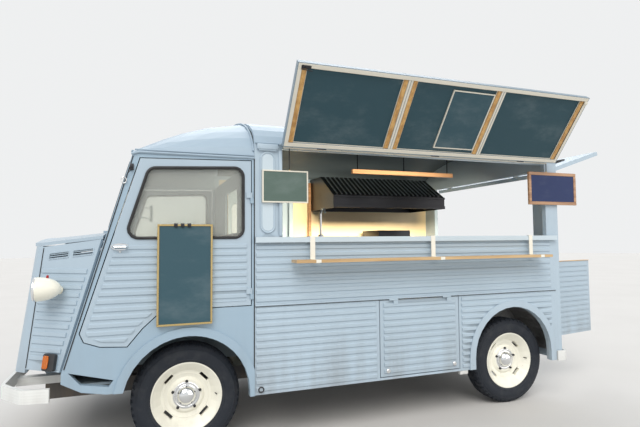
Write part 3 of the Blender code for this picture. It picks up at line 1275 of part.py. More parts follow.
def nose_struts():
    """The nose's stays down to the chassis' front cross member."""
    outline = [(-0.965, 0.575), (-0.955, 0.64), (-0.80, 0.46), (-0.80, RAIL_Z + RAIL_HEIGHT + GAP),
               (-0.855, RAIL_Z + RAIL_HEIGHT + GAP)]
    inner = RAIL_Y[0] - 0.08
    return [slab("strut", "XZ", outline, side * inner, side * (inner + 0.025)) for side in (LEFT, RIGHT)]


def front_bumper():
    """A bent blade across the nose on two bars from the chassis."""
    x = BUMPER_FRONT_X
    end = -HALF_WIDTH
    half = [(-0.76, end + 0.015), (-0.905, end + 0.035), (x, end + 0.21), (x, 0.0)]
    plan = rounded(half, 0.06, 3, closed=False)
    plan = plan + [(px, -py) for px, py in reversed(plan[:-1])]
    inner_half = [(-0.758, end + 0.035), (-0.896, end + 0.053), (x + BUMPER_SHEET, end + 0.218),
                  (x + BUMPER_SHEET, 0.0)]
    inner = rounded(inner_half, 0.05, 3, closed=False)
    inner = inner + [(px, -py) for px, py in reversed(inner[:-1])]
    blade = slab("front_bumper", "XY", plan + inner[::-1], BUMPER_Z, BUMPER_Z + BUMPER_HEIGHT, "white")
    foot, head = RAIL_Z + RAIL_HEIGHT + GAP, BUMPER_Z + 0.03
    bars = [box("bar", (x + 0.01, side * RAIL_Y[0], foot),
                (CHASSIS_FRONT_X + 0.12, side * RAIL_Y[1], head), "white") for side in (LEFT, RIGHT)]
    return join(blade, *bars)


# Assembly


def swung(length, depth, degrees):
    """How far out a lid's foot reaches from its hinge, raised by an angle from hanging down."""
    angle = math.radians(degrees)
    return length * math.sin(angle) - depth * math.cos(angle)


def assemble():
    fixed = [chassis(), load_floor(), cab_tub(), engine(), front_crossmember(), rear_axle()]
    left_side = cab_side("cab_side_left", LEFT)
    fixed += [left_side, mirrored(left_side, "cab_side_right")]
    fixed += [*windscreen(), cab_roof(), load_roof()]
    side_panel = nose_side()
    side_panel.name = "nose_side_left"
    other_side = mirrored(side_panel, "nose_side_right")
    fixed += [join(nose_front(), other_side, side_panel, *nose_struts()), grille()]
    lamp = headlamp()
    fixed += [lamp, mirrored(lamp, "headlamp_right"), front_bumper()]
    fixed += [lower_side_left(), upper_side_left(), body_side_right(), rear_frame()]
    bumper = rear_bumper("rear_bumper_left", LEFT)
    fixed += [bumper, mirrored(bumper, "rear_bumper_right")]
    fixed += [counter_top(), shelf(), seats(), dashboard(), extractor_hood(), kitchen_unit()]
    # Signs: x from and to, z from and to, x of the string
    fixed += [hanging_sign("sign_front", 0.46, 0.77, 1.575, 1.785, 0.645, "slate"),
              hanging_sign("sign_rear", BODY_REAR_X - 0.275, BODY_REAR_X + 0.225, 1.60, 1.865,
                           FLAP_REAR_X - 0.012, "wood")]
    for item in fixed:
        item.parent = ROOT

    carriers = {}
    for name, side in (("left", LEFT), ("right", RIGHT)):
        steer = pivot(f"steer_{name}", (0, side * KINGPIN_Y, TYRE_RADIUS))
        carry(steer, knuckle(f"knuckle_{name}", side))
        carriers[f"front_{name}"] = steer
    wheels(carriers)

    doors = {}
    for name, side in (("left", LEFT), ("right", RIGHT)):
        doors[name] = pivot(f"hinge_door_{name}", hinge_place("cab_door", side))
        carry(doors[name], cab_door(f"door_{name}", side),
              pane(f"door_glass_{name}", cab_window_outline(), side * HALF_WIDTH, side, 0.016))
    board_out, board_in = LEFT * (HALF_WIDTH + 0.034), LEFT * (HALF_WIDTH + RIB_HEIGHT + GAP)
    carry(doors["left"], box("door_board", (-0.188, board_out, 0.815), (0.133, board_in, 1.422), "slate"))

    flap_hinge = pivot("hinge_flap", hinge_place("flap", LEFT))
    carry(flap_hinge, flap(), menu_boards())
    flap_hinge.rotation_euler.x = -math.radians(FLAP_OPEN_DEG)

    locker_hinge = pivot("hinge_locker", hinge_place("locker", LEFT))
    carry(locker_hinge, locker_door())

    slide = pivot("slide_side_door", (SIDE_DOOR_FRONT_X, RIGHT * HALF_WIDTH, SIDE_DOOR_FOOT_Z))
    door_face = RIGHT * HALF_WIDTH + SIDE_DOOR_STANDOFF + SIDE_DOOR_SHEET
    carry(slide, side_door(), pane("side_door_glass", side_window_outline(), door_face, RIGHT, 0.012))

    for name, side in (("left", LEFT), ("right", RIGHT)):
        hinge = pivot(f"hinge_rear_door_{name}", hinge_place("rear_door", side))
        carry(hinge, rear_door(f"rear_door_{name}", side))
        if side == LEFT:
            hinge.rotation_euler.z = -math.radians(REAR_DOOR_OPEN_DEG)
    gate_hinge = pivot("hinge_tailgate", hinge_place("tailgate"))
    carry(gate_hinge, *tailgate())
    gate_hinge.rotation_euler.y = -math.radians(TAILGATE_OPEN_DEG)

    lid = pivot("hinge_bonnet", hinge_place("bonnet"))
    carry(lid, bonnet())

    carry(pivot("steering_axis", STEERING_WHEEL), steering_wheel())

    gate_length, gate_depth = DOORWAY_TOP_Z - DOORWAY_SPLIT_Z, HINGE_OUT + CAB_DOOR_THICKNESS
    rear_reach = REAR_FRAME_X + HINGE_OUT + swung(gate_length, gate_depth, TAILGATE_OPEN_DEG)
    left_reach = FLAP_HINGE_Y + swung(FLAP_HINGE_Z - FLAP_FOOT_Z, FLAP_DEPTH, FLAP_OPEN_DEG)
    right_reach = HALF_WIDTH + MIRROR_REACH
    ROOT.location = (-(BUMPER_FRONT_X + rear_reach) / 2, (left_reach - right_reach) / 2, 0)
    for item in TRUCK.objects:
        if item.type == "MESH":
            item.data.shade_smooth()
            item.data.set_sharp_from_angle(angle=math.radians(30))
    bpy.context.view_layer.update()


assemble()
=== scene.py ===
# %% [markdown]
# # A ribbed-steel food truck, dressed for rendering
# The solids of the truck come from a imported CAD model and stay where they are. This lesson gives each of
# them a finish made of shader nodes, and adds what is too small or too soft for the solids: seals,
# lenses, wheel caps, tread, cushions, trims and the kitchen's fittings. Every place is written in the
# van's own metres: the front axle is at x = 0, the nose points to -X, and the serving side to -Y.

# %% Load the fixed frame
import math

import bmesh
import bpy
from mathutils import Matrix, Vector


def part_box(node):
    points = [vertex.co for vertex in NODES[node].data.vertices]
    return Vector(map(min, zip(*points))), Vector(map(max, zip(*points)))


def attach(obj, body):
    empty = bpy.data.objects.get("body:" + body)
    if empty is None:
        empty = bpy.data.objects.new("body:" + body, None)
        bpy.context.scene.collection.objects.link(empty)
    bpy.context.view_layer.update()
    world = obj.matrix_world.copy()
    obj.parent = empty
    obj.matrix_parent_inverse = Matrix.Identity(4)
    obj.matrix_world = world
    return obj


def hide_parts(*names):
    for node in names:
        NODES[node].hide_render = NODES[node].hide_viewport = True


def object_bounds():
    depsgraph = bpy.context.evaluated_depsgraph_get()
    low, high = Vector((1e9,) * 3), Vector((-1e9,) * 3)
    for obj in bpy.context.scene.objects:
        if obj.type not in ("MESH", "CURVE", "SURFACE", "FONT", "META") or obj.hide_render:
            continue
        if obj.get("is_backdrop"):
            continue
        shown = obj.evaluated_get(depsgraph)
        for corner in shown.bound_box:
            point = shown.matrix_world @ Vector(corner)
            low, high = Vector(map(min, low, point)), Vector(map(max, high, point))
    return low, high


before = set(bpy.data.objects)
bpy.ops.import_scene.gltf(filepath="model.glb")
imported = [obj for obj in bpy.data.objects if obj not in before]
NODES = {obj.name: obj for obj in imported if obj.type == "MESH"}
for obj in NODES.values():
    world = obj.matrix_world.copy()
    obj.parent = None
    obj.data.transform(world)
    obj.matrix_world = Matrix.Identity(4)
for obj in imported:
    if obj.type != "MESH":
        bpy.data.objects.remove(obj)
SCENE = bpy.context.scene
cad_low, cad_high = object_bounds()
hubs = [sum(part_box(f"wheel_front_{side}"), Vector()) / 2 for side in ("left", "right")]
ORIGIN = Vector((hubs[0].x, (hubs[0].y + hubs[1].y) / 2, 0.0))
print("CAD box", [round(v, 3) for v in (*cad_low, *cad_high)], "front axle at", ORIGIN[:])

# %% [markdown]
# A few short names save a lot of repetition: one links an object to the scene, and three make the matrices
# for a shift, for a turn about an axis, and for a drawing's own X, Y and Z laid along three directions.

# %% Short names


def linked(item):
    SCENE.collection.objects.link(item)
    return item


def at(*place):
    return Matrix.Translation(place)


def turned(degrees, axis):
    return Matrix.Rotation(math.radians(degrees), 4, axis)


def based(place, across, up, out):
    return at(*place) @ Matrix((across, up, out)).transposed().to_4x4()


# %% [markdown]
# The camera is a pinhole that was solved from the photograph: where it stood, how far it was turned from
# looking straight at the serving side, and how much it was tipped. It is made first, because the rest is
# judged through it.

# %% Camera
CAMERA_PLACE = Vector((-0.2658, -4.0869, 1.3216))
CAMERA_YAW = math.radians(20.084)
CAMERA_PITCH = math.radians(3.173)
CAMERA_ROLL = math.radians(-0.462)
CAMERA_LENS = 27.04


def aimed(place, yaw, pitch, roll):
    """A camera's matrix from its place and three angles, yaw from +Y towards +X."""
    ahead = Vector((math.sin(yaw) * math.cos(pitch), math.cos(yaw) * math.cos(pitch), math.sin(pitch)))
    right = Vector((math.cos(yaw), -math.sin(yaw), 0.0))
    up = right.cross(ahead)
    right_rolled = math.cos(roll) * right + math.sin(roll) * up
    up_rolled = math.cos(roll) * up - math.sin(roll) * right
    return based(place, right_rolled, up_rolled, -ahead)


camera = linked(bpy.data.objects.new("camera", bpy.data.cameras.new("camera")))
camera.data.lens = CAMERA_LENS
camera.data.sensor_width = 36.0
camera.data.clip_end = 200.0
camera.matrix_world = aimed(CAMERA_PLACE + ORIGIN, CAMERA_YAW, CAMERA_PITCH, CAMERA_ROLL)
SCENE.camera = camera
print("camera at", [round(v, 3) for v in camera.location])

# %% [markdown]
# Shader maths reads best as plain sums. `Value` wraps one socket of a material's node tree, so that
# `noise * 0.2 + dust` adds the Math nodes for it. `Finish` makes the material and any node in it from the
# node's type, its settings and what goes into its sockets.

# %% Shader helpers


class Value:
    """One output socket, used in sums."""

    def __init__(self, finish, socket):
        self.finish = finish
        self.socket = socket

    def worked(self, operation, first, second):
        node = self.finish.node("ShaderNodeMath", {"operation": operation}, {0: first, 1: second})
        return Value(self.finish, node.outputs[0])

    def __add__(self, other):
        return self.worked("ADD", self, other)

    def __sub__(self, other):
        return self.worked("SUBTRACT", self, other)

    def __mul__(self, other):
        return self.worked("MULTIPLY", self, other)

    def least(self, other):
        return self.worked("MINIMUM", self, other)

    def most(self, other):
        return self.worked("MAXIMUM", self, other)

    def away(self):
        """The distance from nought."""
        return self.worked("ABSOLUTE", self, 0.0)

    def band(self, low, high):
        """0 below low, 1 above high, and smooth between; low may be the higher of the two."""
        values = {"Value": self, "From Min": low, "From Max": high}
        node = self.finish.node("ShaderNodeMapRange", {"interpolation_type": "SMOOTHSTEP"}, values)
        return Value(self.finish, node.outputs[0])

    __radd__ = __add__


class Finish:
    """A node material: what is the same all over is set on the shader, and the rest is linked to it."""

    def __init__(self, name, colour, roughness, metallic=0.0, **sockets):
        self.name = name
        self.material = bpy.data.materials.new(name)
        self.material.use_nodes = True
        self.tree = self.material.node_tree
        self.shader = self.tree.nodes["Principled BSDF"]
        self.colour = colour
        self.set("Base Color", colour)
        self.set("Roughness", roughness)
        self.set("Metallic", metallic)
        for key, value in sockets.items():
            self.set(key.replace("_", " "), value)
        self.places = self.node("ShaderNodeTexCoord").outputs["Object"]

    def put(self, socket, value):
        if isinstance(value, Value):
            self.tree.links.new(value.socket, socket)
        elif isinstance(value, bpy.types.NodeSocket):
            self.tree.links.new(value, socket)
        elif socket.type == "RGBA":
            socket.default_value = (*value, 1.0)
        else:
            socket.default_value = value

    def set(self, name, value):
        self.put(self.shader.inputs[name], value)
        return self

    def node(self, kind, settings=None, values=None):
        made = self.tree.nodes.new(kind)
        for key, setting in (settings or {}).items():
            setattr(made, key, setting)
        for key, value in (values or {}).items():
            self.put(made.inputs[key], value)
        return made

    def axis(self, index):
        """The object coordinate along X, Y or Z, by its index."""
        return Value(self, self.node("ShaderNodeSeparateXYZ", None, {0: self.places}).outputs[index])

    def noise(self, scale, detail=3.0, stretch=(1.0, 1.0, 1.0), rough=0.55):
        spread = self.node("ShaderNodeMapping", None, {"Vector": self.places, "Scale": stretch})
        values = {"Vector": spread.outputs[0], "Scale": scale, "Detail": detail, "Roughness": rough}
        return Value(self, self.node("ShaderNodeTexNoise", None, values).outputs[0])

    def cells(self, scale):
        values = {"Vector": self.places, "Scale": scale}
        return Value(self, self.node("ShaderNodeTexVoronoi", None, values).outputs[0])

    def waves(self, along, pitch):
        """Ridges across one axis, from 0 to 1, that far apart."""
        phase = self.axis(along) * (math.tau / pitch)
        return phase.worked("SINE", phase, 0.0) * 0.5 + 0.5

    def crease(self):
        """About 0.5 on flat sheet, less in a hollow and more on an edge."""
        return Value(self, self.node("ShaderNodeNewGeometry").outputs["Pointiness"])

    def mixed(self, mask, first, second):
        """The first colour where the mask is 0, and the second where it is 1."""
        node = self.node("ShaderNodeMix", {"data_type": "RGBA"}, {0: mask, 6: first, 7: second})
        return Value(self, node.outputs[2])

    def raised(self, height, distance):
        """Light the surface as if it stood out by height times distance, in metres."""
        values = {"Height": height, "Distance": distance}
        return self.set("Normal", Value(self, self.node("ShaderNodeBump", None, values).outputs[0]))


def tinted(colour, amount):
    """A colour made lighter or darker by a factor."""
    return tuple(min(1.0, part * amount) for part in colour)


# %% [markdown]
# Old van paint is never one flat colour. The sheet is slightly wavy, sun has faded it in clouds, rain has
# left faint vertical runs, and road dirt has climbed up from the sills. One function makes every paint
# from those layers, with the amount of dirt as its choice. On ribbed sheet it also paints shade into the
# grooves between the ribs, which it finds by how the surface bends there.

# %% Paints
DIRT = (0.16, 0.13, 0.10)
RUST = (0.20, 0.075, 0.03)
SHEET_WAVE = 0.0048
FLAT, HOLLOW = 0.497, 0.465
FINISHES = {}


def keep(finish):
    """Note a finish by its name."""
    FINISHES[finish.name] = finish
    return finish


def painted(name, colour, roughness=0.38, grime=0.35, top=0.85, crease_shade=0.0):
    """Brushed-on enamel over pressed steel, dirty up to the height `top`, with painted shade in its creases.
    """
    made = Finish(name, colour, roughness, Coat_Weight=0.12, Coat_Roughness=0.25)
    clouds = made.noise(1.7, 3.0)
    runs = made.noise(1.0, 4.0, (9.0, 9.0, 0.7))
    speck = made.noise(95.0, 3.0)
    low = made.axis(2).band(top, 0.25)
    soil = (low * runs.band(0.30, 0.75) * grime).least(1.0)
    chips = speck.band(0.70, 0.74) * low * clouds.band(0.45, 0.6)
    faded = made.mixed(clouds, tinted(colour, 0.90), tinted(colour, 1.07))
    streaked = made.mixed(runs.band(0.50, 0.85) * 0.14, faded, tinted(colour, 0.72))
    if crease_shade:
        # Painted shade: the grooves between the ribs are darkened as if they lay in shade.
        hollow_shade = made.crease().band(FLAT, HOLLOW) * crease_shade
        streaked = made.mixed(hollow_shade, streaked, tinted(colour, 0.30))
    dirty = made.mixed(soil, streaked, DIRT)
    made.set("Base Color", made.mixed(chips, dirty, RUST))
    made.set("Roughness", roughness - 0.06 + clouds * 0.14 + soil * 0.4)
    made.raised(made.noise(3.2, 2.0) + speck * 0.05, SHEET_WAVE)
    return keep(made)


BODY_BLUE = (0.405, 0.500, 0.580)
painted("body_paint", BODY_BLUE)
painted("ribbed_paint", BODY_BLUE, crease_shade=0.55)
# The wings wear the body's blue made darker and bluer: painted shade.
painted("shaded_wing_paint", (0.315, 0.425, 0.520), grime=0.25)
painted("door_paint", tinted(BODY_BLUE, 0.97), crease_shade=0.35)
# The roof wears the body's blue made darker, as painted shade against the light falling on top.
painted("shaded_roof_paint", (0.335, 0.430, 0.515), roughness=0.5, grime=0.1)
painted("nose_paint", tinted(BODY_BLUE, 0.97), grime=0.5, crease_shade=0.45)
painted("flap_paint", (0.20, 0.27, 0.33), roughness=0.34, grime=0.0)
painted("cream_paint", (0.86, 0.84, 0.73), grime=0.2, top=0.6)
painted("white_paint", (0.78, 0.78, 0.74), grime=0.3, top=0.6)
painted("counter_paint", (0.52, 0.61, 0.67), roughness=0.32, grime=0.0)
painted("cream_trim", (0.74, 0.70, 0.60), grime=0.0)
painted("under_paint", (0.055, 0.055, 0.06), roughness=0.7, grime=0.8, top=1.1)
painted("cab_lining", (0.22, 0.27, 0.30), roughness=0.6, grime=0.2)
# The ceiling's dark colour is painted shade under the roof.
painted("ceiling_shade_paint", (0.10, 0.13, 0.155), roughness=0.6, grime=0.0)
painted("beige_lining", (0.82, 0.66, 0.42), roughness=0.5, grime=0.0)
print("paints:", ", ".join(FINISHES))

# %% [markdown]
# The bumpers are pressed with long grooves. They are so shallow that a bump of waves along Z tells them
# as well as geometry would, and the blade keeps its clean solid.

# %% Bumper white
GROOVE_PITCH = 0.016
bumper = painted("bumper_white", (0.76, 0.77, 0.75), roughness=0.42, grime=0.5, top=0.55)
bumper.raised(bumper.waves(2, GROOVE_PITCH) + bumper.noise(60.0) * 0.1, 0.0005)
print("bumper grooves every", GROOVE_PITCH, "m")

# %% [markdown]
# Bare metals: polished chrome for caps and rims, brushed steel for the kitchen, and a dark burnt metal
# for baffles and pans. Brushing is noise that is stretched a long way in one direction.

# %% Metals
EVEN = (1.0, 1.0, 1.0)
BRUSH_DEPTH = 0.00012


def metal(name, colour, roughness, grain=(1.0, 30.0, 30.0)):
    made = Finish(name, colour, roughness, 1.0)
    brush = made.noise(9.0, 4.0, grain)
    smear = made.noise(4.0, 3.0)
    made.set("Base Color", made.mixed(smear, tinted(colour, 0.86), tinted(colour, 1.08)))
    made.set("Roughness", roughness * 0.8 + brush * roughness * 0.3 + smear.band(0.5, 0.8) * 0.12)
    made.raised(brush, BRUSH_DEPTH)
    return keep(made)


metal("chrome", (0.80, 0.81, 0.82), 0.10, EVEN)
metal("steel", (0.62, 0.63, 0.64), 0.30)
metal("dark_metal", (0.055, 0.055, 0.06), 0.38, (30.0, 1.0, 30.0))
metal("brass", (0.62, 0.47, 0.22), 0.28, EVEN)
plate = metal("floor_plate", (0.42, 0.42, 0.42), 0.42)
plate.raised(plate.cells(38.0).band(0.34, 0.22), 0.0016)
print("with the metals:", len(FINISHES), "finishes")

# %% [markdown]
# Rubber, plastic and vinyl hardly reflect, so what sells them is the fine surface: dust and a mould's
# grain on rubber, leather cells on vinyl.

# %% Rubber, plastic and vinyl


def soft_skin(name, colour, roughness, dust, dust_amount, cells, depth):
    made = Finish(name, colour, roughness)
    patches = made.noise(14.0, 4.0)
    grain = made.cells(cells)
    made.set("Base Color", made.mixed(patches.band(0.42, 0.78) * dust_amount, colour, dust))
    made.set("Roughness", roughness - 0.08 + patches * 0.16)
    made.raised(grain + patches * 0.3, depth)
    return keep(made)


soft_skin("tyre", (0.007, 0.011, 0.019), 0.72, (0.08, 0.080, 0.080), 0.25, 420.0, 0.0006)
soft_skin("seal", (0.012, 0.012, 0.013), 0.55, (0.10, 0.10, 0.10), 0.25, 300.0, 0.0003)
soft_skin("dark_plastic", (0.022, 0.024, 0.027), 0.48, (0.09, 0.09, 0.09), 0.2, 500.0, 0.0003)
soft_skin("vinyl", (0.13, 0.055, 0.030), 0.46, (0.20, 0.12, 0.08), 0.35, 260.0, 0.0010)
soft_skin("floor_mat", (0.035, 0.034, 0.033), 0.8, (0.16, 0.13, 0.10), 0.5, 120.0, 0.002)
print("skins done:", len(FINISHES), "finishes")

# %% [markdown]
# Varnished amber wood: long streaks of grain run along X, with finer pores over them. The shelf's solid
# has cream hangers in the same node, so its finish paints them by where they are along X.

# %% Wood


def wooden(name, light, dark, along=0):
    """Varnished wood with its grain along an axis; its plain wood is kept for a mix."""
    stretch = [34.0, 34.0, 34.0]
    stretch[along] = 1.6
    made = Finish(name, light, 0.38, Coat_Weight=0.25, Coat_Roughness=0.2)
    grain = made.noise(1.0, 6.0, stretch, 0.6)
    pores = made.noise(3.4, 4.0, stretch)
    wood = made.mixed(grain.band(0.32, 0.68), dark, light)
    made.set("Base Color", made.mixed(pores.band(0.60, 0.78) * 0.55, wood, tinted(dark, 0.55)))
    made.set("Roughness", 0.34 + grain * 0.2)
    made.raised(pores, 0.0005)
    made.wood = wood
    return keep(made)


wooden("amber_wood", (0.66, 0.39, 0.13), (0.42, 0.21, 0.06))
wooden("upright_wood", (0.66, 0.39, 0.13), (0.42, 0.21, 0.06), 2)
wooden("brown_wood", (0.50, 0.29, 0.16), (0.30, 0.15, 0.075))
STRAP_XS = (0.80, 1.745, 2.66)
STRAP_HALF = 0.0177
shelf = wooden("shelf_finish", (0.62, 0.43, 0.22), (0.44, 0.27, 0.12))
strap = None
for strap_x in STRAP_XS:
    near = (shelf.axis(0) - (strap_x + ORIGIN.x)).away().band(STRAP_HALF + 0.0002, STRAP_HALF)
    strap = near if strap is None else strap.most(near)
shelf.set("Base Color", shelf.mixed(strap, shelf.wood, (0.80, 0.77, 0.68)))
print("shelf hangers at", STRAP_XS)

# %% [markdown]
# The boards are slate paint: matt, dark teal, with pale clouds where chalk was wiped off. They are blank.

# %% Slate boards


def chalky(name, colour, chalk=0.22):
    made = Finish(name, colour, 0.72)
    wiped = made.noise(2.6, 5.0, (1.0, 1.0, 2.2), 0.65)
    dust = made.noise(70.0, 3.0)
    made.set("Base Color", made.mixed(wiped.band(0.45, 0.85) * chalk, colour, (0.42, 0.47, 0.48)))
    made.set("Roughness", 0.62 + wiped * 0.25)
    made.raised(dust, 0.0003)
    return keep(made)


chalky("menu_slate", (0.020, 0.062, 0.082), 0.16)
chalky("door_slate", (0.028, 0.076, 0.100), 0.16)
chalky("sign_green", (0.085, 0.130, 0.110), 0.20)
chalky("sign_blue", (0.016, 0.030, 0.100), 0.14)

# %% [markdown]
# Glass lets light through and mirrors the sky. Transmission is set on the shader itself, and a faint film
# of dust makes its roughness uneven. Lamps have their own ribbed or tinted glass.

# %% Glass and lenses


def clear(name, colour, roughness, through, ribs=None, tint=None):
    """Glass or a lens, with ribs that far apart and a second colour in clouds if they are given."""
    made = Finish(name, colour, roughness, Transmission_Weight=through, IOR=1.46)
    film = made.noise(3.0, 4.0)
    made.set("Roughness", roughness + film.band(0.45, 0.8) * 0.05)
    if tint:
        made.set("Base Color", made.mixed(film, colour, tint))
    if ribs:
        made.raised(made.waves(1, ribs), 0.002)
    return keep(made)


clear("glass", (0.90, 0.92, 0.86), 0.015, through=0.80)
clear("lamp_glass", (0.93, 0.94, 0.92), 0.05, through=0.85, ribs=0.011)
clear("amber_lens", (0.90, 0.24, 0.02), 0.12, through=0.35, ribs=0.006, tint=(0.75, 0.16, 0.01))
clear("red_lens", (0.55, 0.015, 0.012), 0.12, through=0.30, ribs=0.006, tint=(0.40, 0.01, 0.01))
print(len(FINISHES), "finishes in all")

# %% [markdown]
# Each CAD node now gets its finish. The solids keep their own mesh, and only the material in their slot
# changes.

# %% Finishes on the solids
BY_FINISH = {
    "body_paint": "rear_frame",
    "ribbed_paint": "lower_side_left upper_side_left body_side_right",
    "shaded_wing_paint": "cab_side_left cab_side_right",
    "door_paint": "door_left door_right locker_door side_door rear_door_left rear_door_right tailgate",
    "shaded_roof_paint": "cab_roof load_roof windscreen_frame",
    "nose_paint": "nose_shell grille bonnet",
    "flap_paint": "serving_flap",
    "cab_lining": "cab_tub",
    "cream_paint": "wheel_front_left wheel_front_right wheel_rear_left wheel_rear_right headlamp_left "
                   "headlamp_right",
    "counter_paint": "counter_top",
    "bumper_white": "front_bumper rear_bumper_left rear_bumper_right",
    "under_paint": "chassis_frame engine_block front_crossmember rear_axle knuckle_left knuckle_right",
    "tyre": "tyre_front_left tyre_front_right tyre_rear_left tyre_rear_right",
    "glass": "door_glass_left door_glass_right windscreen_glass side_door_glass tailgate_glass",
    "menu_slate": "menu_boards",
    "door_slate": "door_board",
    "sign_green": "sign_front",
    "brown_wood": "sign_rear",
    "shelf_finish": "serving_shelf",
    "floor_plate": "load_floor",
    "steel": "kitchen_unit",
    "dark_metal": "extractor_hood",
    "dark_plastic": "dashboard steering_wheel",
    "vinyl": "seats",
}
dressed = set()
for finish_name, node_names in BY_FINISH.items():
    for node_name in node_names.split():
        item = NODES[node_name]
        item.data.materials.clear()
        item.data.materials.append(FINISHES[finish_name].material)
        dressed.add(node_name)
print(len(dressed), "of", len(NODES), "nodes dressed; left:", sorted(set(NODES) - dressed))

# %% [markdown]
# New pieces are joined from small parts. Each part is a bmesh of its own: a bevelled block, a round bar,
# a profile spun about Z, a flat outline with a thickness, or a bar bent along points.

# %% Part makers


def moved(bm, matrix):
    bmesh.ops.transform(bm, matrix=matrix, verts=bm.verts)
    return bm


def rims_bevelled(bm, offset):
    """Bevel the edges that lie flat, before the part is turned."""
    rims = [edge for edge in bm.edges if abs(edge.verts[0].co.z - edge.verts[1].co.z) < 1e-6]
    bmesh.ops.bevel(bm, geom=rims, offset=offset, segments=1, profile=0.5, affect="EDGES", material=-1)


def block(low, high, bevel=0.0015, segments=1):
    """A box between two corners, with its edges bevelled."""
    bm = bmesh.new()
    bmesh.ops.create_cube(bm, size=1.0)
    bmesh.ops.scale(bm, vec=[abs(b - a) for a, b in zip(low, high)], verts=bm.verts)
    bmesh.ops.translate(bm, vec=(Vector(low) + Vector(high)) / 2, verts=bm.verts)
    if bevel:
        bmesh.ops.bevel(bm, geom=bm.edges, offset=bevel, segments=segments, profile=0.5, affect="EDGES",
                        material=-1)
    return bm


def blocks(corners, bevel=0.0015, segments=1):
    """Bevelled boxes from pairs of opposite corners."""
    return [block(low, high, bevel, segments) for low, high in corners]


def bar(start, end, radius, sides=12):
    """A round bar between two points, with a bevel at its ends."""
    start, end = Vector(start), Vector(end)
    bm = bmesh.new()
    bmesh.ops.create_cone(bm, cap_ends=True, segments=sides, radius1=radius, radius2=radius,
                          depth=(end - start).length)
    rims_bevelled(bm, radius * 0.2)
    turn = (end - start).to_track_quat("Z", "Y").to_matrix().to_4x4()
    return moved(bm, Matrix.Translation((start + end) / 2) @ turn)


def spun(profile, steps=32, closed=False):
    """A profile of (radius, height) points turned about Z; its ends lie on the axis unless it is closed."""
    bm = bmesh.new()
    corners = [bm.verts.new((radius, 0.0, height)) for radius, height in profile]
    pairs = list(zip(corners, corners[1:]))
    if closed:
        pairs.append((corners[-1], corners[0]))
    edges = [bm.edges.new(pair) for pair in pairs]
    bmesh.ops.spin(bm, geom=corners + edges, cent=(0, 0, 0), axis=(0, 0, 1), angle=math.tau, steps=steps,
                   use_merge=True)
    bmesh.ops.remove_doubles(bm, verts=bm.verts, dist=0.00002)
    bmesh.ops.dissolve_degenerate(bm, dist=0.00001, edges=bm.edges)
    return bm


def cutout(outline, low, high, plane="XZ", bevel=0.001):
    """A flat outline in a plane, with a thickness across it from low to high."""
    bm = bmesh.new()
    face = bm.faces.new([bm.verts.new((u, v, low)) for u, v in outline])
    extruded = bmesh.ops.extrude_face_region(bm, geom=[face])["geom"]
    top = [item for item in extruded if isinstance(item, bmesh.types.BMVert)]
    bmesh.ops.translate(bm, vec=(0, 0, high - low), verts=top)
    if bevel:
        rims_bevelled(bm, bevel)
    columns = {"XZ": ((1, 0, 0), (0, 0, 1), (0, 1, 0)), "YZ": ((0, 1, 0), (0, 0, 1), (1, 0, 0)),
               "XY": ((1, 0, 0), (0, 1, 0), (0, 0, 1))}[plane]
    return moved(bm, Matrix(columns).transposed().to_4x4())


def bent(points, radius, closed=False, resolution=1):
    """A round bar along points, from a bevelled curve."""
    curve = bpy.data.curves.new("bent", "CURVE")
    curve.dimensions = "3D"
    curve.bevel_depth = radius
    curve.bevel_resolution = resolution
    curve.use_fill_caps = not closed
    spline = curve.splines.new("POLY")
    spline.points.add(len(points) - 1)
    for point, place in zip(spline.points, points):
        point.co = (*place, 1.0)
    spline.use_cyclic_u = closed
    item = linked(bpy.data.objects.new("bent", curve))
    bpy.context.view_layer.update()
    mesh = bpy.data.meshes.new_from_object(item.evaluated_get(bpy.context.evaluated_depsgraph_get()))
    bm = bmesh.new()
    bm.from_mesh(mesh)
    bmesh.ops.remove_doubles(bm, verts=bm.verts, dist=0.00002)
    bpy.data.objects.remove(item)
    bpy.data.curves.remove(curve)
    bpy.data.meshes.remove(mesh)
    return bm


def about(place, axis, degrees):
    """A turn about an axis through a place, as a joint has."""
    shift = at(*place)
    return shift @ turned(degrees, axis) @ shift.inverted()


# %% [markdown]
# `piece` moves the parts to the frame, turns their faces outwards, joins them into one mesh with a finish
# and lets it ride on a body. The other helpers draw outlines: rectangles, rounded corners, ovals and
# arches, and the same outline stood up at a side or at the rear.

# %% Pieces and outlines
HAIR = 0.0002


def piece(name, finish, body, parts, place=None, smooth=35.0):
    """Join parts into one named piece that rides on a body."""
    bm = bmesh.new()
    for part in parts:
        if place is not None:
            moved(part, place)
        bmesh.ops.translate(part, vec=ORIGIN, verts=part.verts)
        bmesh.ops.recalc_face_normals(part, faces=part.faces)
        if part.calc_volume(signed=True) < 0:
            bmesh.ops.reverse_faces(part, faces=part.faces)
        mesh = bpy.data.meshes.new("part")
        part.to_mesh(mesh)
        part.free()
        bm.from_mesh(mesh)
        bpy.data.meshes.remove(mesh)
    mesh = bpy.data.meshes.new(name)
    bm.to_mesh(mesh)
    bm.free()
    mesh.shade_smooth()
    mesh.set_sharp_from_angle(angle=math.radians(smooth))
    mesh.materials.append(FINISHES[finish].material)
    item = linked(bpy.data.objects.new(name, mesh))
    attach(item, body)
    print(f"{name}: {len(mesh.polygons)} faces on {body}")
    return item


def rectangle(low, high):
    return [low, (high[0], low[1]), high, (low[0], high[1])]


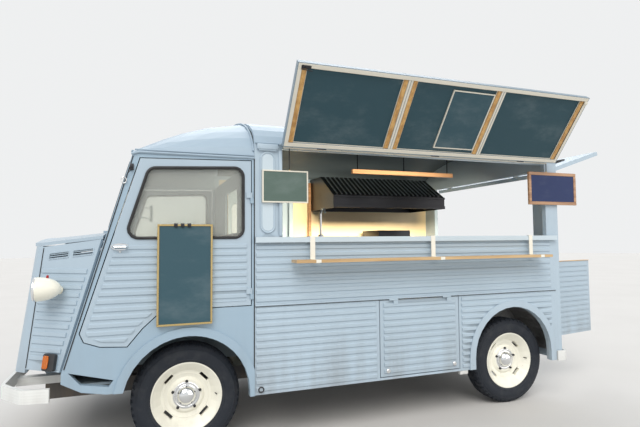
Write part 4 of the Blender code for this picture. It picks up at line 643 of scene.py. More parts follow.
def rounded(outline, radius, steps=5):
    """A closed outline with its corners rounded by arcs."""
    result = []
    for index, point in enumerate(outline):
        corner = Vector(point)
        before = (Vector(outline[index - 1]) - corner).normalized()
        after = (Vector(outline[(index + 1) % len(outline)]) - corner).normalized()
        half = before.angle(after) / 2
        centre = corner + (before + after).normalized() * radius / math.sin(half)
        first = corner + before * radius / math.tan(half) - centre
        last = corner + after * radius / math.tan(half) - centre
        for step in range(steps + 1):
            ray = first.lerp(last, step / steps).normalized() * radius
            result.append(tuple(centre + ray))
    return result


def panel(low, high, radius, steps=5):
    """A rectangle's outline with rounded corners."""
    return rounded(rectangle(low, high), radius, steps)


def grown(low, high, edge):
    """A rectangle's two corners, moved outwards by an edge."""
    return (low[0] - edge, low[1] - edge), (high[0] + edge, high[1] + edge)


def oval(centre, reach, steps):
    turns = [math.tau * step / steps for step in range(steps)]
    return [(centre[0] + reach[0] * math.cos(turn), centre[1] + reach[1] * math.sin(turn)) for turn in turns]


def arch(x, half, foot, rise, steps=28):
    """Points over the van, from its left side to its right, in a plane across it."""
    turns = [math.pi * step / steps for step in range(1, steps)]
    return [(x, -half * math.cos(turn), foot + rise * math.sin(turn)) for turn in turns]


def at_side(outline, y):
    return [(u, y, v) for u, v in outline]


def at_rear(outline, x):
    return [(x, u, v) for u, v in outline]


def border(low, high, width, depth, plane="XZ", bevel=0.001):
    """Four strips inside a rectangle's edge, from depth to depth, with a hair's gap where they meet."""
    (u0, v0), (u1, v1) = low, high
    foot, head = v0 + width + HAIR, v1 - width - HAIR
    spans = (((u0, v0), (u1, v0 + width)), ((u0, v1 - width), (u1, v1)),
             ((u0, foot), (u0 + width, head)), ((u1 - width, foot), (u1, head)))
    order = (0, 2, 1) if plane == "XZ" else (0, 1, 2)
    corners = [[[(*uv, d)[index] for index in order] for uv, d in zip(span, depth)] for span in spans]
    return blocks(corners, bevel)


LEFT, RIGHT = -1, 1
SIDES = (("left", LEFT), ("right", RIGHT))
MIRROR = Matrix.Scale(-1, 4, (0, 1, 0))
HANDS = (("left", Matrix.Identity(4)), ("right", MIRROR))
TO_REAR = turned(90, "Y")
FACE, SIDE_FACE, REAR_FACE = 0.99, 1.03, 2.985
print("body sides at", FACE, "sliding door at", SIDE_FACE, "rear at", REAR_FACE)

# %% [markdown]
# The wheels: a real tyre has ribs in its side wall, grooves round its tread and lugs on its shoulders, so
# the plain tyre solid is replaced by a spun section of the same size. Every other face of the shoulder is
# inset and sunk, which makes the lugs. A chrome cap covers the hub's dome, with five nuts round it, and
# two cream beads round off the rim's lip and the disc.

# %% Wheels and tyres
TYRE_R, WHEEL_Y, WHEELBASE = 0.335, 0.815, 2.53
TYRE_STEPS = 96
GROOVE_R = TYRE_R - 0.007
SHOULDER_R, SHOULDER_Z = (0.320, 0.334), 0.051
HALF_SECTION = [(0.2048, 0.0632), (0.2178, 0.0632), (0.2215, 0.0730), (0.2330, 0.0765), (0.2365, 0.0790),
                (0.2400, 0.0770), (0.2680, 0.0830), (0.2860, 0.0805), (0.2960, 0.0775), (0.2990, 0.0790),
                (0.3020, 0.0758), (0.3170, 0.0700), (0.3300, 0.0600), (TYRE_R, 0.0500), (TYRE_R, 0.0370),
                (GROOVE_R, 0.0350), (GROOVE_R, 0.0300), (TYRE_R, 0.0280), (TYRE_R, 0.0100),
                (GROOVE_R, 0.0085), (GROOVE_R, 0.0030)]
SECTION = HALF_SECTION + [(radius, -offset) for radius, offset in reversed(HALF_SECTION)]
CAP = [(0, 0.0640), (0.016, 0.0632), (0.030, 0.0600), (0.040, 0.0550), (0.050, 0.0455), (0.0580, 0.0365),
       (0.0600, 0.0240), (0.0680, 0.0222), (0.0690, 0.0208), (0, 0.0208)]
CAP_RING = [(0.070, 0.0205), (0.074, 0.0225), (0.080, 0.0225), (0.084, 0.0205)]
RIM_LIP = [(0.2095, 0.0675), (0.2120, 0.0718), (0.2150, 0.0730), (0.2190, 0.0722), (0.2200, 0.0700),
           (0.2182, 0.0690), (0.2150, 0.0680)]
DISC_BEAD = [(0.1360, 0.0090), (0.1375, 0.0135), (0.1400, 0.0148), (0.1430, 0.0138), (0.1445, 0.0100)]
NUT_CIRCLE = 0.089


def tyre_part():
    """The spun section, with lugs sunk between the shoulders' blocks and a cut in every third tread face."""
    bm = spun(SECTION, TYRE_STEPS, closed=True)
    bmesh.ops.recalc_face_normals(bm, faces=bm.faces)
    lugs, sipes = [], []
    for face in bm.faces:
        middle = face.calc_center_median()
        reach = math.hypot(middle.x, middle.y)
        step = int(math.atan2(middle.y, middle.x) / math.tau * TYRE_STEPS + TYRE_STEPS)
        if SHOULDER_R[0] < reach < SHOULDER_R[1] and abs(middle.z) > SHOULDER_Z and step % 2:
            lugs.append(face)
        elif reach > TYRE_R - 0.0012 and step % 3 == 0:
            sipes.append(face)
    bmesh.ops.inset_individual(bm, faces=lugs, thickness=0.0015, depth=-0.005)
    bmesh.ops.inset_individual(bm, faces=sipes, thickness=0.0022, depth=-0.004)
    return bm


def wheel_nuts():
    parts = []
    for index in range(5):
        turn = Matrix.Rotation(math.tau * index / 5 + 0.3, 4, "Z") @ at(NUT_CIRCLE, 0, 0)
        parts.append(moved(bar((0, 0, 0.016), (0, 0, 0.030), 0.0095, 6), turn))
        parts.append(moved(bar((0, 0, 0.028), (0, 0, 0.038), 0.0052, 10), turn))
    return parts


for axle, x in (("front", 0.0), ("rear", WHEELBASE)):
    for hand, side in SIDES:
        name, body = f"{axle}_{hand}", f"{axle}_{hand}_wheel"
        centre = at(x, side * WHEEL_Y, TYRE_R) @ turned(-90 * side, "X")
        tyre = piece(f"tyre_tread_{name}", "tyre", body, [tyre_part()], centre, 40.0)
        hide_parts(f"tyre_{name}")
        piece(f"hub_cap_{name}", "chrome", body, [spun(CAP, 40), spun(CAP_RING, 40, True)], centre)
        beads = [spun(RIM_LIP, TYRE_STEPS, True), spun(DISC_BEAD, 72, True)]
        piece(f"rim_beads_{name}", "cream_paint", body, beads, centre)
        valve = bar((0.178, 0.0, 0.030), (0.186, 0.0, 0.066), 0.0035, 8)
        piece(f"wheel_nuts_{name}", "dark_metal", body, [*wheel_nuts(), valve], centre)

# %% [markdown]
# Window rubber: each pane sits in a thick black seal that follows the rounded opening. A bar bent along
# the outline is just that, and the same call serves every window. What rides on the open tailgate or the
# open rear door is drawn as if they were closed, and then turned about their hinges.

# %% Window seals
CAB_WINDOW = rounded([(-0.243, 1.772), (-0.375, 1.343), (0.336, 1.343), (0.336, 1.796)], 0.055)
SIDE_WINDOW = panel((0.60, 1.34), (1.10, 1.72), 0.05)
GATE_WINDOW = panel((-0.55, 1.27), (0.55, 1.76), 0.06)
PROUD = 0.001
HINGE_X = REAR_FACE + 0.0076
GATE_TURN = about((HINGE_X, 0, 1.90), "Y", -108)
REAR_DOOR_TURN = about((HINGE_X, -0.76, 0.56), "Z", -80)
for name, side in SIDES:
    rings = [bent(at_side(CAB_WINDOW, side * (FACE + offset)), radius, True)
             for offset, radius in ((PROUD, 0.0105), (-0.034, 0.008))]
    piece(f"window_seal_{name}", "seal", f"{name}_door", rings, smooth=50)
side_ring = bent(at_side(SIDE_WINDOW, SIDE_FACE + PROUD), 0.009, True)
piece("side_window_seal", "seal", "sliding_door", [side_ring], smooth=50)
gate_ring = bent(at_rear(GATE_WINDOW, REAR_FACE + PROUD), 0.010, True)
piece("gate_window_seal", "seal", "tailgate", [gate_ring], GATE_TURN, 50)

# %% [markdown]
# The windscreen leans, so it is drawn flat in its own plane and tipped into place by a matrix that takes
# (Y, height up the slope) to the van. Two wipers rest at its foot.

# %% Windscreen
PILLAR_FOOT, PILLAR_TOP = (-0.70, 0.575), (-0.335, 1.865)
COWL_Z = 1.355
ACROSS = Vector((0, 1, 0))


def pillar_x(z):
    """Where the front pillar's edge is at a height."""
    share = (z - PILLAR_FOOT[1]) / (PILLAR_TOP[1] - PILLAR_FOOT[1])
    return PILLAR_FOOT[0] + share * (PILLAR_TOP[0] - PILLAR_FOOT[0])


slope_foot = Vector((pillar_x(COWL_Z), 0, COWL_Z))
slope = Vector((PILLAR_TOP[0], 0, PILLAR_TOP[1])) - slope_foot
SCREEN_HEIGHT = slope.length
SCREEN = based(slope_foot, ACROSS, slope.normalized(), ACROSS.cross(slope.normalized()))
panes = [panel((low, 0.055), (high, SCREEN_HEIGHT - 0.045), 0.04)
         for low, high in ((-0.8997, -0.02), (0.02, 0.8997))]
seals = [bent([(u, v, -0.001) for u, v in pane], 0.009, True) for pane in panes]
piece("screen_seals", "seal", "body", seals, SCREEN, 50)
wipers = []
for y in (-0.52, 0.34):
    wipers += [bar((y, 0.030, 0.004), (y, 0.030, -0.028), 0.010),
               bent([(y, 0.030, -0.020), (y + 0.19, 0.074, -0.034), (y + 0.34, 0.115, -0.026)], 0.0035),
               bent([(y + 0.10, 0.072, -0.012), (y + 0.46, 0.135, -0.012)], 0.005),
               bar((y + 0.30, 0.106, -0.028), (y + 0.30, 0.106, -0.010), 0.004)]
piece("wipers", "dark_metal", "body", wipers, SCREEN)
print("windscreen slope is", round(SCREEN_HEIGHT, 3), "m long")

# %% [markdown]
# Rain gutters run along the cab's and the load space's eaves, and a bead covers the joint where the cab's
# dome meets the load roof. Thin beads like these catch the light and draw the body's main lines.

# %% Gutters and beads
GUTTER_Z, EAVES_Z, CAB_REAR, BODY_REAR = 1.865, 1.965, 0.41, 2.945
for name, side in SIDES:
    y = side * (FACE + 0.005)
    y_low = y - side * 0.003
    lip_z, load_z = GUTTER_Z + 0.016, EAVES_Z + 0.003
    cab_gutter = [(-0.345, y, GUTTER_Z - 0.012), (-0.30, y, GUTTER_Z + 0.001),
                  (CAB_REAR - 0.004, y, GUTTER_Z)]
    gutters = [bent(cab_gutter, 0.0075),
               bent([(-0.325, y_low, lip_z), (CAB_REAR - 0.004, y_low, lip_z)], 0.005),
               bent([(CAB_REAR + 0.004, y, load_z), (REAR_FACE - 0.002, y, load_z)], 0.007)]
    piece(f"gutters_{name}", "shaded_roof_paint", "body", gutters)
    pillar = [bent([(pillar_x(z) + 0.008, side * (FACE + 0.001), z) for z in (0.60, 1.84)], 0.0035),
              bent([(CAB_REAR - 0.001, side * (FACE + 0.0015), z) for z in (0.345, 1.86)], 0.0035)]
    piece(f"pillar_beads_{name}", "seal", "body", pillar)
dome = arch(CAB_REAR - 0.006, FACE + 0.001, 1.869, 0.390)
piece("roof_joint", "shaded_roof_paint", "body", [bent(dome, 0.0065, resolution=2)])
brow = arch(-0.337, FACE - 0.02, 1.866, 0.045)
piece("screen_head", "shaded_roof_paint", "body", [bent(brow, 0.010, resolution=2)])

# %% [markdown]
# A bead with a dark seam under it marks the waist on the serving side. In front of the hatch the jamb has
# a pressed oval with a raised edge, a small cap over it and a post beside it.

# %% Waist and hatch jamb
WAIST_Z = 0.900
bead = [(x, -(FACE + 0.005), WAIST_Z) for x in (CAB_REAR + 0.004, BODY_REAR - 0.01)]
waist = [bent(bead, 0.0055),
         block((0.425, -1.012, 1.925), (0.565, -0.988, 1.9615), 0.004, 2),
         block((0.435, -1.007, 1.916), (0.557, -0.988, 1.926), 0.003, 2),
         bent(at_side(panel((0.452, 1.375), (0.545, 1.905), 0.045, 8), -(FACE + 0.004)), 0.0055, True, 2),
         block((0.575, -1.0, 1.352), (0.597, -0.988, 1.924), 0.004, 2)]
piece("waist_bead", "body_paint", "body", waist)
seam = [(x, -(FACE + 0.0045), WAIST_Z - 0.0065) for x in (CAB_REAR + 0.006, BODY_REAR - 0.012)]
piece("waist_seam", "seal", "body", [bent(seam, 0.0032)])
pressed_face = cutout(panel((0.462, 1.385), (0.535, 1.895), 0.036, 8), -0.9965, -0.994)
piece("pressed_face", "counter_paint", "body", [pressed_face])

# %% [markdown]
# The headlamps are smooth pods on stalks, in place of the faceted solids, with a chrome rim, a bright bowl
# behind ribbed glass and a tiny marker on top. They are drawn for the left side and mirrored to the right.

# %% Headlamps
LAMP = Vector((-0.787, -0.93, 1.053))
LAMP_PLACE = Matrix.Translation(LAMP) @ turned(-90, "Y")
LAMP_RIM = [(0.0600, 0.0600), (0.0700, 0.0560), (0.0712, 0.0600), (0.0700, 0.0655), (0.0650, 0.0700),
            (0.0600, 0.0680)]
LAMP_BOWL = [(0, 0.0662), (0.030, 0.0668), (0.060, 0.0690), (0.0605, 0.0660), (0, 0.0652)]
LAMP_GLASS = [(0, 0.0800), (0.020, 0.0792), (0.040, 0.0762), (0.056, 0.0712), (0.0615, 0.0680),
              (0.0605, 0.0670), (0, 0.0675)]
LAMP_POD = [(0, 0.067), (0.058, 0.066), (0.066, 0.063), (0.069, 0.058), (0.0695, 0.048), (0.0688, 0.036),
            (0.0665, 0.014), (0.0615, -0.008), (0.0535, -0.029), (0.0435, -0.046), (0.0320, -0.059),
            (0.0200, -0.068), (0.0090, -0.0725), (0, -0.0735)]
LAMP_MARKER = [(0, 0.012), (0.005, 0.010), (0.007, 0.004), (0.0075, -0.006), (0, -0.006)]
NOSE_FOOT = Vector((-0.70, -0.97, 0.58))
NOSE_OUT = Vector((-0.6065, -0.7777, 0.1645)).normalized()
stalk_foot = LAMP - NOSE_OUT * ((LAMP - NOSE_FOOT).dot(NOSE_OUT) - 0.0075)
for name, hand in HANDS:
    pod = [moved(spun(LAMP_POD, 48), LAMP_PLACE), bar(LAMP - NOSE_OUT * 0.035, stalk_foot, 0.016, 24),
           bar(stalk_foot + NOSE_OUT * 0.006, stalk_foot, 0.024, 24)]
    pod_piece = piece(f"lamp_pod_{name}", "cream_paint", "body", pod, hand, 50.0)
    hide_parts(f"headlamp_{name}")
    rim = [spun(LAMP_RIM, 40, True), spun(LAMP_BOWL, 40)]
    piece(f"lamp_rim_{name}", "chrome", "body", rim, hand @ LAMP_PLACE)
    piece(f"lamp_glass_{name}", "lamp_glass", "body", [spun(LAMP_GLASS, 40)], hand @ LAMP_PLACE)
    marker = moved(spun(LAMP_MARKER, 16), Matrix.Translation(LAMP + Vector((0, 0, 0.069))))
    piece(f"lamp_marker_{name}", "red_lens", "body", [marker], hand)

# %% [markdown]
# The nose's side panels lean in two directions, so their louvres, indicators and seams are drawn in the
# left panel's plane, which runs forwards and up from the foot of the wing.

# %% Nose sides
NOSE_FORWARD = Vector((-0.2156, 0.168, 0)).normalized()
NOSE_PLANE = based(NOSE_FOOT, NOSE_FORWARD, NOSE_FORWARD.cross(NOSE_OUT), -NOSE_OUT)
LOUVRES = ((-0.105, 0.045), (0.075, 0.225))
RAKE, SLAT_V, SLAT_PITCH, WIRE = 0.1, 0.668, 0.012, 0.0032
for name, hand in HANDS:
    louvres = []
    for rear, front in LOUVRES:
        for row in range(3):
            ends = [(u, SLAT_V + row * SLAT_PITCH + (0.045 - u) * RAKE, 0.004)
                    for u in (rear + 0.003, front - 0.003)]
            louvres.append(bent(ends, WIRE))
        corners = [(u, v + (0.045 - u) * RAKE) for u, v in rectangle((rear, 0.662), (front, 0.700))]
        louvres.append(bent([(u, v, -0.001) for u, v in rounded(corners, 0.006, 3)], WIRE, True))
    piece(f"nose_louvres_{name}", "nose_paint", "body", louvres, hand @ NOSE_PLANE)
    housing = cutout(panel((0.0345, 0.0045), (0.1185, 0.1015), 0.015, 4), -0.0318, -0.0082, "XY")
    piece(f"indicator_housing_{name}", "dark_plastic", "body", [housing], hand @ NOSE_PLANE)
    lens = cutout(panel((0.072, 0.016), (0.112, 0.090), 0.012, 4), -0.0400, -0.0312, "XY", 0.003)
    piece(f"indicator_lens_{name}", "amber_lens", "body", [lens], hand @ NOSE_PLANE)
    seam = bent([(0.2655, 0.006, -0.001), (0.2775, 0.716, -0.001)], 0.003)
    piece(f"nose_seam_{name}", "seal", "body", [seam], hand @ NOSE_PLANE)

# %% [markdown]
# Small fittings on the front: a blank number plate on two brackets, a handle on the bonnet's lip and a bead
# round the grille.

# %% Nose front
GRILLE_LEAN = 0.08 / 0.738
piece("plate_front", "white_paint", "body", [block((-0.996, -0.26, 0.520), (-0.990, 0.26, 0.625), 0.002, 2)])
plate_back = [block((-0.9898, -0.268, 0.512), (-0.986, 0.268, 0.633), 0.001)]
plate_back += [bar((-0.988, y, 0.57), (-0.965, y, 0.575), 0.008) for y in (-0.18, 0.18)]
plate_back += [bar((-0.9985, y, 0.572), (-0.995, y, 0.572), 0.006, 8) for y in (-0.235, 0.235)]
piece("plate_back", "dark_plastic", "body", plate_back)
grille_edge = panel((-0.305, 0.635), (0.305, 1.205), 0.02)
bead = [(-0.98 + GRILLE_LEAN * (v - 0.56) - 0.001, u, v) for u, v in grille_edge]
piece("grille_bead", "nose_paint", "body", [bent(bead, 0.006, True)])
handle = [(-0.897, -0.05, 1.330), (-0.915, -0.04, 1.334), (-0.915, 0.04, 1.334), (-0.897, 0.05, 1.330)]
piece("bonnet_handle", "chrome", "bonnet", [bent(handle, 0.005)])

# %% [markdown]
# The cab doors carry a chrome handle on an oval plate, and inside them a trim panel with a winder and a
# pull. The left one also has a slate board in a thin brass frame, which hangs from three clips.

# %% Doors
HANDLE_Z = 1.291
BOARD = (-0.188, 0.815), (0.133, 1.422)
for name, side in SIDES:
    y = side * (FACE + 0.0005)
    plate_y, grip_y = y + side * 0.005, y + side * 0.026
    grip = [(-0.44, y + side * 0.006, HANDLE_Z), (-0.43, grip_y, HANDLE_Z), (-0.37, grip_y, HANDLE_Z),
            (-0.36, y + side * 0.006, HANDLE_Z)]
    handle = [cutout(oval((-0.40, HANDLE_Z), (0.052, 0.021), 24), min(y, plate_y), max(y, plate_y)),
              bent(grip, 0.0065, resolution=2),
              bar((-0.40, y, 1.262), (-0.40, y + side * 0.006, 1.262), 0.006)]
    piece(f"door_handle_{name}", "chrome", f"{name}_door", handle)
    inner = side * (FACE - 0.0365)
    span = sorted((inner, inner - side * 0.006))
    trim = cutout([(-0.50, 0.93), (0.33, 0.93), (0.33, 1.31), (-0.40, 1.31)], *span)
    piece(f"door_trim_{name}", "vinyl", f"{name}_door", [trim])
    crank = inner - side * 0.012
    pull = crank - side * 0.02
    fittings = [bar((-0.10, inner, 1.10), (-0.10, crank - side * 0.012, 1.10), 0.012),
                bent([(-0.10, crank - side * 0.010, 1.10), (-0.03, crank - side * 0.014, 1.05)], 0.005),
                bar((-0.03, crank - side * 0.010, 1.05), (-0.03, crank - side * 0.032, 1.05), 0.009),
                bent([(0.10, inner, 1.22), (0.10, pull, 1.22), (0.26, pull, 1.22),
                      (0.26, inner, 1.22)], 0.006)]
    piece(f"door_fittings_{name}", "steel", f"{name}_door", fittings)
board_frame = border(*grown(*BOARD, 0.004), 0.012, (-1.0285, -1.0), bevel=0.0015)
piece("door_board_frame", "brass", "left_door", board_frame)
clips = [((x - 0.011, -1.0345, 1.408), (x + 0.011, -0.998, 1.4315)) for x in (-0.085, -0.045, -0.005)]
piece("door_board_clips", "dark_metal", "left_door", blocks(clips, 0.002, 2))

# %% [markdown]
# The mirror on the right door has a bright glass on its rear face. On the left front pillar the photograph
# shows a small dark socket and a light ring instead of a mirror.

# %% Mirror and pillar fittings
mirror_glass = cutout(panel((1.077, 1.532), (1.178, 1.678), 0.032), -0.1885, -0.1850, "YZ")
piece("mirror_glass", "chrome", "right_door", [mirror_glass])
mirror_back = cutout(panel((1.0655, 1.5205), (1.1895, 1.6895), 0.04), -0.2155, -0.1880, "YZ", 0.004)
piece("mirror_housing", "seal", "right_door", [mirror_back])
socket = [block((-0.352, -1.004, 1.752), (-0.330, -0.989, 1.792), 0.003, 2),
          bar((-0.341, -1.000, 1.772), (-0.341, -1.012, 1.772), 0.006),
          bent([(-0.341, -1.008, 1.760), (-0.372, -1.006, 1.718)], 0.0022)]
piece("pillar_socket", "dark_metal", "body", socket)
ring = at_side(oval((-0.385, 1.690), (0.014, 0.018), 20), -0.999)
piece("pillar_ring", "steel", "body", [bent(ring, 0.003, True)])

# %% [markdown]
# The serving flap is open, so its trims are drawn on the closed flap and turned with it about the hinge.
# Its lining is cream, and two split white bars part its three slate boards. Amber strips stand at the
# boards' sides, a thin pale edge runs round each of them, and the middle bay holds a small blank board.

# %% Serving flap
FLAP_TURN = about((0, -1.06, 1.95), "X", -142)
FLAP_X, FLAP_Z = (0.575, 2.875), (1.385, 1.945)
RIM, HALF_BAR, HALF_GROOVE, STRIP = 0.03, 0.018, 0.002, 0.033
LINING_Y, SHEET_Y = -1.024, -1.0395
INNER_X = (FLAP_X[0] + RIM, FLAP_X[1] - RIM)
INNER_Z = (FLAP_Z[0] + RIM, FLAP_Z[1] - RIM)
pitch = (FLAP_X[1] - FLAP_X[0] - 2 * RIM) / 3
bays = [(INNER_X[0] + index * pitch + (HALF_BAR if index else 0.0),
         INNER_X[0] + (index + 1) * pitch - (HALF_BAR if index < 2 else 0.0)) for index in range(3)]
lining = border(*grown(*zip(FLAP_X, FLAP_Z), -0.005), RIM - 0.005, (LINING_Y - 0.006, LINING_Y + 0.0015))
for before, after in zip(bays, bays[1:]):
    centre = (before[1] + after[0]) / 2
    for start, end in ((before[1] + 0.001, centre - HALF_GROOVE), (centre + HALF_GROOVE, after[0] - 0.001)):
        lining.append(block((start, -1.032, INNER_Z[0]), (end, -1.0255, INNER_Z[1]), 0.002))
piece("flap_lining", "cream_trim", "flap", lining, FLAP_TURN)
frames, edging = [], []
for index, (low, high) in enumerate(bays):
    strips = [(low + 0.001, low + STRIP), (high - STRIP, high - 0.001)]
    last = index == 2
    for start, end in strips[1:] if last else strips:
        frames.append(block((start, SHEET_Y, INNER_Z[0] + 0.002), (end, -1.0275, INNER_Z[1] - 0.002), 0.002))
    foot = low + (0.001 if last else STRIP)
    edging += border((foot, INNER_Z[0] + 0.001), (high - STRIP, INNER_Z[1] - 0.001), 0.004, (SHEET_Y, -1.034),
                     bevel=0.0008)
piece("board_frames", "upright_wood", "flap", frames, FLAP_TURN)
piece("board_edging", "cream_trim", "flap", edging, FLAP_TURN)
small = (bays[1][0] + 0.33, INNER_Z[0] + 0.035), (bays[1][1] - 0.045, INNER_Z[1] - 0.035)
small_corners = [(u, y, v) for (u, v), y in zip(small, (SHEET_Y, SHEET_Y + 0.008))]
piece("small_board", "door_slate", "flap", [block(*small_corners, 0.001)], FLAP_TURN)
small_frame = border(*grown(*small, 0.004), 0.008, (SHEET_Y, SHEET_Y + 0.011))
piece("small_board_frame", "cream_trim", "flap", small_frame, FLAP_TURN)

# %% [markdown]
# The flap's own fittings turn with it: a latch at one lower corner and a knob at the other. The rail that
# it hangs from stays on the body, with three hinge leaves and a row of screws.

# %% Flap fittings
latch = [block((0.600, -1.030, 1.400), (0.660, -1.016, 1.420), 0.003, 2),
         bar((0.630, -1.022, 1.412), (0.630, -1.010, 1.412), 0.008),
         bent([(0.600, -1.018, 1.424), (0.672, -1.018, 1.430)], 0.003)]
piece("flap_latches", "dark_metal", "flap", latch, FLAP_TURN)
KNOB = [(0, 0.012), (0.010, 0.011), (0.016, 0.007), (0.014, 0.002), (0.008, 0.0), (0.008, -0.006),
        (0, -0.006)]
knob = moved(spun(KNOB, 20), at(2.856, -1.022, 1.428) @ turned(-90, "X"))
piece("flap_knob", "cream_trim", "flap", [knob], FLAP_TURN)
piece("header_rail", "cream_trim", "body", [block((0.602, -1.0205, 1.9385), (2.857, -0.992, 1.9562), 0.002)])
HINGE_XS = (0.87, 1.78, 2.58)
leaves = blocks([((x - 0.045, -1.0580, 1.9645), (x + 0.045, -1.0210, 1.9680)) for x in HINGE_XS], 0.001)
leaves += blocks([((x - 0.035, -1.0235, 1.9400), (x + 0.035, -1.0207, 1.9530)) for x in HINGE_XS], 0.001)
piece("flap_hinges", "dark_metal", "body", leaves)
screws = [bar((x, -1.0205, 1.947), (x, -1.0220, 1.947), 0.0035, 8)
          for x in (0.66, 1.02, 1.38, 1.74, 2.10, 2.46, 2.82)]
piece("header_screws", "dark_metal", "body", screws)

# %% [markdown]
# Two blank signs hang by strings. Their frames are thin strips round the board, and the rear one's face is
# a thin panel of blue slate.

# %% Signs
SIGN_Y, STRING_Y = -1.013, -1.006
EYES = ((0.645, 1.783, 1.79), (2.863, 1.862, 1.87))  # X, the eye's foot and the string's
front_frame = border((0.457, 1.572), (0.773, 1.788), 0.009, (SIGN_Y - 0.004, -0.997))
piece("sign_front_frame", "cream_trim", "body", front_frame)
rear_face = block((2.692, SIGN_Y - 0.002, 1.622), (3.148, SIGN_Y + 0.002, 1.843), 0.0005)
piece("sign_rear_face", "sign_blue", "body", [rear_face])
rear_frame = border((2.668, 1.598), (3.172, 1.867), 0.026, (SIGN_Y - 0.006, -0.998), bevel=0.003)
piece("sign_rear_frame", "brown_wood", "body", rear_frame)
eyes = [bar((x, STRING_Y, z), (x, STRING_Y, z + 0.012), 0.006, 10) for x, z, _ in EYES]
piece("sign_eyes", "brass", "body", eyes)
strings = [bent([(x, STRING_Y, z), (x, STRING_Y, 1.9375)], 0.0034) for x, _, z in EYES]
piece("sign_strings", "seal", "body", strings)

# %% [markdown]
# Side fittings: two round locks on the locker, the jacking hole and its bracket, and rivets along the
# seams. A rivet is a few faces, and rows of them are stamped from a short table.

# %% Side fittings
LOCK_Z = 0.392
locks = []
for x in (1.372, 1.928):
    locks += [bar((x, -0.996, LOCK_Z), (x, -1.004, LOCK_Z), 0.016, 20),
              block((x - 0.003, -1.0075, LOCK_Z - 0.011), (x + 0.003, -1.002, LOCK_Z + 0.011), 0.001)]
piece("locker_locks", "chrome", "locker_door", locks)
HOLE = [(0.013, 0.0), (0.020, 0.0), (0.020, 0.004), (0.016, 0.006), (0.013, 0.004)]
hole = moved(spun(HOLE, 24, True), at(0.452, -0.997, 0.364) @ turned(90, "X"))
piece("jack_hole", "dark_metal", "body", [hole])
bracket = [block((1.985, -0.985, 0.300), (2.055, -0.955, 0.3305), 0.003, 2),
           bar((2.02, -0.989, 0.316), (2.02, -0.950, 0.316), 0.008)]
piece("jack_bracket", "bumper_white", "body", bracket)
RIVET = [(0, 0.0022), (0.00252, 0.0017), (0.0042, 0.0), (0.0042, -0.001), (0, -0.001)]
SEAM_STEP, POST_STEP = 0.0836, 0.075
# Start and step in (X, Z), number, side
ROWS = (((0.43, 0.336), (SEAM_STEP, 0), 18, LEFT), ((0.43, 1.3055), (SEAM_STEP, 0), 30, LEFT),
        ((2.925, 0.36), (0, POST_STEP), 20, LEFT), ((2.925, 0.36), (0, POST_STEP), 20, RIGHT),
        ((1.28, 1.895), (SEAM_STEP, 0), 19, RIGHT), ((1.28, 0.343), (SEAM_STEP, 0), 6, RIGHT))
rivets = [moved(spun(RIVET, 8), at(x + i * dx, side * (FACE + 0.0001), z + i * dz) @ turned(-90 * side, "X"))
          for (x, z), (dx, dz), number, side in ROWS for i in range(number)]
piece("rivets", "body_paint", "body", rivets)

# %% [markdown]
# The back of the van: lamps in round housings, a blank plate, a latch on the doors and a timber cap on the
# open door, which serves as a ledge. The sliding door and the tailgate have grips.

# %% Rear fittings
LAMP_SHELL = [(0, 0.0), (0.046, 0.0), (0.048, 0.004), (0.045, 0.016), (0.040, 0.020), (0, 0.018)]
LAMP_LENS = [(0, 0.034), (0.018, 0.032), (0.032, 0.026), (0.038, 0.018), (0, 0.018)]
for name, side in SIDES:
    lower, upper = [at(REAR_FACE, side * 0.875, z) @ TO_REAR for z in (0.80, 0.92)]
    piece(f"tail_indicator_{name}", "amber_lens", "body", [moved(spun(LAMP_LENS, 28), upper)])
    shells = [moved(spun(LAMP_SHELL, 28), place) for place in (lower, upper)]
    piece(f"tail_shell_{name}", "chrome", "body", shells)
    piece(f"tail_lens_{name}", "red_lens", "body", [moved(spun(LAMP_LENS, 28), lower)])
rear_plate = block((REAR_FACE + 0.008, 0.16, 0.62), (REAR_FACE + 0.013, 0.62, 0.73), 0.002)
piece("plate_rear", "white_paint", "right_rear_door", [rear_plate])
catch = [block((REAR_FACE + 0.004, 0.02, 0.90), (REAR_FACE + 0.016, 0.11, 0.93), 0.003, 2),
         bar((REAR_FACE + 0.010, 0.065, 0.915), (REAR_FACE + 0.030, 0.065, 0.915), 0.008),
         bent([(REAR_FACE + 0.028, 0.065, 0.915), (REAR_FACE + 0.030, 0.065, 0.86)], 0.006)]
piece("rear_catch", "steel", "right_rear_door", catch)
cap = block((REAR_FACE - 0.037, -0.752, 1.1094), (REAR_FACE + 0.006, -0.004, 1.1136), 0.001)
piece("rear_door_cap", "amber_wood", "left_rear_door", [cap], REAR_DOOR_TURN)
GRIP_OUT, GRIP_RADIUS = 0.03, 0.007
gate_grip = [(REAR_FACE + reach, y, 1.16)
             for reach, y in ((0, -0.08), (GRIP_OUT, -0.07), (GRIP_OUT, 0.07), (0, 0.08))]
piece("gate_grip", "chrome", "tailgate", [bent(gate_grip, GRIP_RADIUS, resolution=2)], GATE_TURN)
slide_grip = [(1.16, SIDE_FACE + reach, z)
              for reach, z in ((0, 1.02), (GRIP_OUT, 1.03), (GRIP_OUT, 1.15), (0, 1.16))]
lock = block((1.145, SIDE_FACE - 0.001, 1.19), (1.175, SIDE_FACE + 0.006, 1.23), 0.003, 2)
piece("slide_grip", "chrome", "sliding_door", [bent(slide_grip, GRIP_RADIUS, resolution=2), lock])

# %% [markdown]
# Inside the load space the walls are lined in warm beige, and the roof's inside is painted dark as painted
# shade. The lining is a thin skin just inside the steel, so the outside paint doesn't show through the
# hatch.

